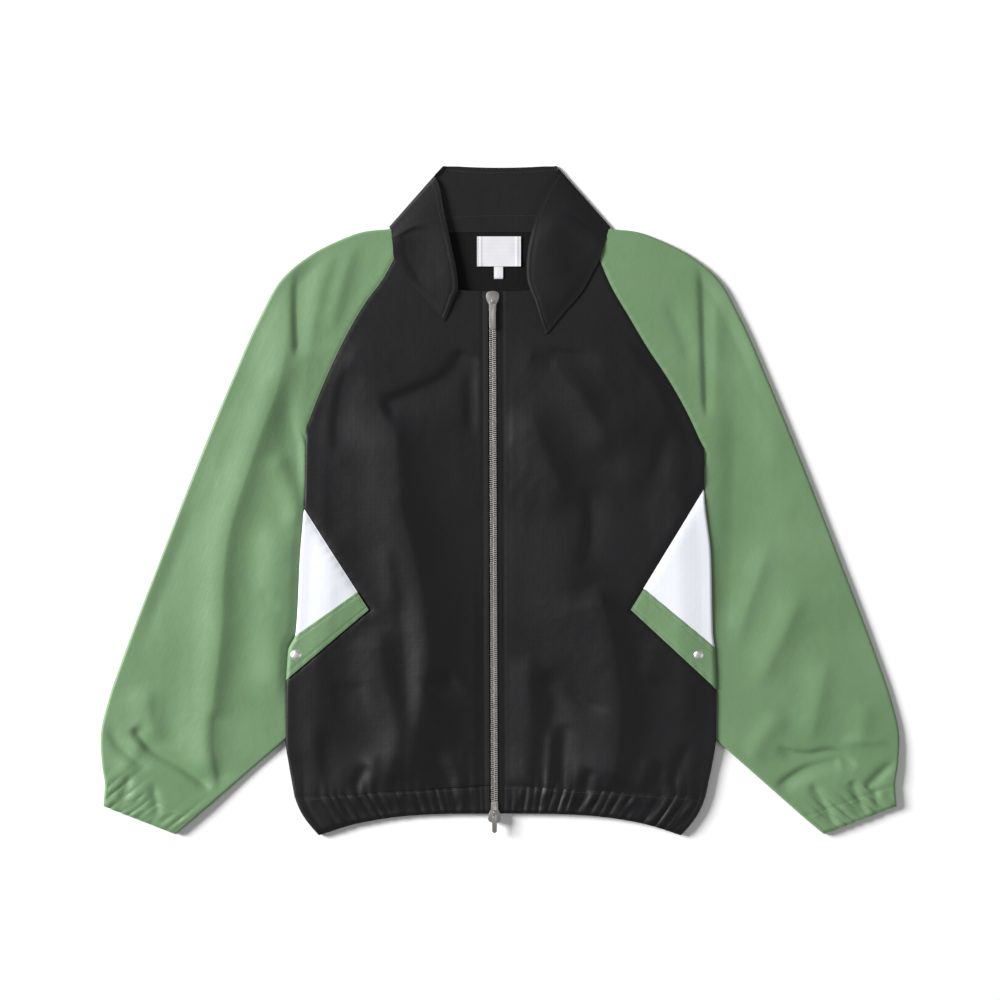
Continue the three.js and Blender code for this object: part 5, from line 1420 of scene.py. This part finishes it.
def chain_piece():
    tooth, bm = tooth_mesh(), bmesh.new()
    for sign, start in ((-1, 0.0), (1, 0.5)):
        turn = Matrix.Rotation(0 if sign > 0 else math.pi, 4, "Z")
        for y in np.arange(CHAIN_LOW + start * TOOTH_PITCH, CHAIN_HIGH, TOOTH_PITCH):
            x = float(zip_x(y)) + sign * (TOOTH_REACH - TOOTH_SIZE[0] / 2)
            z = float(centre_top(y)) - TOOTH_SIZE[2] / 2
            before = len(bm.verts)
            bm.from_mesh(tooth)
            bm.verts.ensure_lookup_table()
            move = Matrix.Translation(Vector((x, y, z)) * MM) @ turn
            bmesh.ops.transform(bm, verts=bm.verts[before:], matrix=move)
    piece = finished("zip_teeth", bm)
    return stands_for(piece, "zip_chain", chain_metal)


teeth = chain_piece()
print("teeth:", round(2 * (CHAIN_HIGH - CHAIN_LOW) / TOOTH_PITCH))

# %% Tapes
TAPE_LOW, TAPE_HIGH, TAPE_INNER, TAPE_OUTER, TAPE_BELOW, TAPE_CLOTH = -358.4, 240.5, 0.7, 15.0, 1.6, 0.9


def tape_piece(side):
    sign = SIDES[side]["sign"]

    def place(row, across):
        y, from_zip = mix(TAPE_LOW, TAPE_HIGH, row), mix(TAPE_INNER, TAPE_OUTER, across)
        bead = 0.35 * np.exp(-(((from_zip - 2.2) / 1.4) ** 2))
        return stack(zip_x(y) + sign * from_zip, y, centre_top(y) - TAPE_BELOW + bead)

    piece = sheet_of_cloth(
        f"zip_tape_{side}_cloth", place, np.linspace(0, 1, 160), np.linspace(0, 1, 22), thickness=TAPE_CLOTH
    )
    return stands_for(piece, f"zip_tape_{side}", black_nylon)


tapes = {side: tape_piece(side) for side in SIDES}
print("tape length:", round(TAPE_HIGH - TAPE_LOW), "mm")

# %% [markdown]
# ## Sliders and pulls
#
# The CAD model already has the shape of each slider and pull. A merged copy gets broken edges, as a die
# casting has, which is what catches the light. The pulls swing, so each rides on its own body.


# %% Rounded copies of the hard pieces
def rounded_copy(node, body, radius):
    bm = bmesh.new()
    bm.from_mesh(frame["nodes"][node].data)
    bmesh.ops.remove_doubles(bm, verts=bm.verts, dist=0.02 * MM)
    bmesh.ops.dissolve_limit(bm, angle_limit=math.radians(3), verts=bm.verts, edges=bm.edges)
    edges = [edge for edge in bm.edges if edge.is_manifold and edge.calc_face_angle() > math.radians(38)]
    bevel = {"offset": radius * MM, "segments": 2, "profile": 0.5, "affect": "EDGES", "material": -1}
    bmesh.ops.bevel(bm, geom=edges, clamp_overlap=True, **bevel)
    for edge in bm.edges:
        edge.smooth = edge.is_manifold and edge.calc_face_angle() < math.radians(34)
    for face in bm.faces:
        face.smooth = True
    piece = finished(f"{node}_metal", bm)
    return stands_for(piece, node, bright_metal, body)


METAL_PIECES = {
    "slider_top": "jacket",
    "slider_bottom": "jacket",
    "pull_top": "top_pull",
    "pull_bottom": "bottom_pull",
}
METAL_ROUNDING = 0.35
metal_pieces = [rounded_copy(node, body, METAL_ROUNDING) for node, body in METAL_PIECES.items()]
print("metal pieces:", {piece.name: len(piece.data.polygons) for piece in metal_pieces})

# %% [markdown]
# ## Snaps
#
# A pressed snap closes each welt. Its cap is a thin disc with a rolled rim and a dome, which is a profile
# spun round once.

# %% The snap caps
SNAP_PROFILE = [
    (0, 0), (6.1, 0), (6.3, 0.3), (6.2, 0.6), (5.9, 0.75), (5.6, 0.7), (5.4, 0.72), (5.2, 0.9), (4.7, 1.3),
    (3.8, 1.75), (2.7, 2.05), (1.4, 2.18), (0, 2.2),
]


def snap_piece(side):
    low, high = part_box(f"snap_{side}")
    centre = Vector(((low[0] + high[0]) / 2, (low[1] + high[1]) / 2, low[2]))
    bm = bmesh.new()
    ring = [bm.verts.new(centre + Vector((radius, 0, height)) * MM) for radius, height in SNAP_PROFILE]
    edges = [bm.edges.new(pair) for pair in zip(ring, ring[1:])]
    spin = {"cent": centre, "axis": (0, 0, 1), "angle": 2 * math.pi, "steps": 48, "use_merge": True}
    bmesh.ops.spin(bm, geom=ring + edges, **spin)
    bmesh.ops.remove_doubles(bm, verts=bm.verts, dist=0.01 * MM)
    bmesh.ops.recalc_face_normals(bm, faces=bm.faces)
    for face in bm.faces:
        face.smooth = True
    piece = finished(f"snap_{side}_cap", bm)
    return stands_for(piece, f"snap_{side}", satin_metal)


snaps = {side: snap_piece(side) for side in SIDES}
print("snap across:", 2 * max(radius for radius, height in SNAP_PROFILE), "mm")

# %% [markdown]
# ## The cut of each piece
#
# Every piece of cloth is listed with the size that it was cut to, in metres. A sleeve and a cuff are
# tubes, so their cut goes all round. The area is stated where the cut is not a rectangle. Nothing later in
# the script reads the list.

# %% Cut sizes
CUTS = [
    (fronts["left"], (0.245, 0.605), 0.115, "laid", ["back_cloth"]),
    (fronts["right"], (0.260, 0.605), 0.122, "laid", ["back_cloth"]),
    (inserts["left"], (0.070, 0.160), 0.0053, "laid", ["back_cloth"]),
    (inserts["right"], (0.075, 0.185), 0.0076, "laid", ["back_cloth"]),
    (welts["left"], (0.105, 0.050), 0.0034, "laid", ["back_cloth"]),
    (welts["right"], (0.110, 0.050), 0.0040, "laid", ["back_cloth"]),
    (sleeves["left"], (0.420, 0.720), 0.203, "laid", ["floor"]),
    (sleeves["right"], (0.420, 0.720), 0.198, "laid", ["floor"]),
    (cuffs["left"], (0.230, 0.032), None, "gathered", ["floor"]),
    (cuffs["right"], (0.230, 0.032), None, "gathered", ["floor"]),
    (hem_fronts["left"], (0.240, 0.040), None, "gathered", ["hem_back_cloth"]),
    (hem_fronts["right"], (0.250, 0.040), None, "gathered", ["hem_back_cloth"]),
    (hem_back, (0.480, 0.040), None, "gathered", ["floor"]),
    (back, (0.500, 0.660), 0.276, "laid", ["floor"]),
    (collar, (0.560, 0.085), 0.034, "folded", ["back_cloth"]),
    (label, (0.0505, 0.0345), None, "laid", ["back_cloth"]),
    (size_tab, (0.0104, 0.0140), None, "laid", ["back_cloth"]),
    (tapes["left"], (0.0143, 0.599), None, "laid", ["back_cloth"]),
    (tapes["right"], (0.0143, 0.599), None, "laid", ["back_cloth"]),
]
for piece, flat, area, held, rests_on in CUTS:
    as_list(rests_on)
print("declared", len(CUTS), "pieces of cloth")

# %% [markdown]
# ## Floor, light and camera
#
# The picture is a catalogue cut-out: a white ground, a jacket seen from straight above, and soft light from
# the upper left, low enough to show the folds. A large lamp far away lights the whole jacket evenly. The view
# transform is set to Standard, because a film curve would grey the white ground and lift the black cloth.


# %% A pale floor
def floor_piece():
    bm = bmesh.new()
    bmesh.ops.create_grid(bm, x_segments=1, y_segments=1, size=4.0)
    piece = finished("floor", bm)
    material, tree, shader = new_material("Pale matt studio paper")
    place = add_node(tree, "ShaderNodeTexCoord").outputs["Object"]
    grit = add_node(tree, "ShaderNodeTexNoise", {"Scale": 900.0, "Detail": 2.0}, Vector=place)
    shallow = {"Strength": 0.05, "Distance": 0.0002}
    bump = add_node(tree, "ShaderNodeBump", shallow, Height=grit.outputs["Fac"])
    tree.links.new(bump.outputs["Normal"], shader.inputs["Normal"])
    shader.inputs["Base Color"].default_value = linear("#fbfbfb")
    shader.inputs["Roughness"].default_value = 0.9
    piece.data.materials.append(material)
    return piece


floor = floor_piece()


# %% Lamps and the room
def area_light(name, place, size, power):
    data = bpy.data.lights.new(name, "AREA")
    data.shape, data.size, data.energy = "SQUARE", size, power
    lamp = bpy.data.objects.new(name, data)
    bpy.context.scene.collection.objects.link(lamp)
    lamp.location = place
    lamp.rotation_euler = (-Vector(place)).to_track_quat("-Z", "Y").to_euler()
    return lamp


area_light("key", (-8.0, 2.6, 4.55), 3.6, 1780)
area_light("fill", (7.0, -1.5, 4.4), 3.6, 110)
area_light("overhead", (0.0, 0.3, 4.6), 1.2, 4.5)
world = bpy.data.worlds.new("room")
bpy.context.scene.world = world
world.use_nodes = True
world.node_tree.nodes["Background"].inputs["Color"].default_value = (1, 1, 1, 1)
world.node_tree.nodes["Background"].inputs["Strength"].default_value = 0.19
bpy.context.scene.view_settings.view_transform = "Standard"

# %% The camera, level and straight above
CAMERA_HEIGHT, JACKET_MID_HEIGHT, PHOTO_WIDTH, PHOTO_CENTRE_Y = 3.2, 0.008, 1.15, 0.00115
camera_data = bpy.data.cameras.new("camera")
camera = bpy.data.objects.new("camera", camera_data)
bpy.context.scene.collection.objects.link(camera)
camera_data.sensor_width = 36
camera_data.lens = 36 * (CAMERA_HEIGHT - JACKET_MID_HEIGHT) / PHOTO_WIDTH
camera.location = (0.0, PHOTO_CENTRE_Y, CAMERA_HEIGHT)
bpy.context.scene.camera = camera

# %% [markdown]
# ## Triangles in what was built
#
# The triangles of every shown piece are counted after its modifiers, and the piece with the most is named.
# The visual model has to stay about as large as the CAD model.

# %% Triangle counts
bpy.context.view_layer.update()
depsgraph = bpy.context.evaluated_depsgraph_get()
counts = {}
for piece in bpy.context.scene.objects:
    if piece.type == "MESH" and not piece.hide_render:
        shown = piece.evaluated_get(depsgraph).data
        counts[piece.name] = sum(len(face.vertices) - 2 for face in shown.polygons)
largest = max(counts, key=counts.get)
print("triangles:", sum(counts.values()), "most in one piece:", largest, counts[largest])
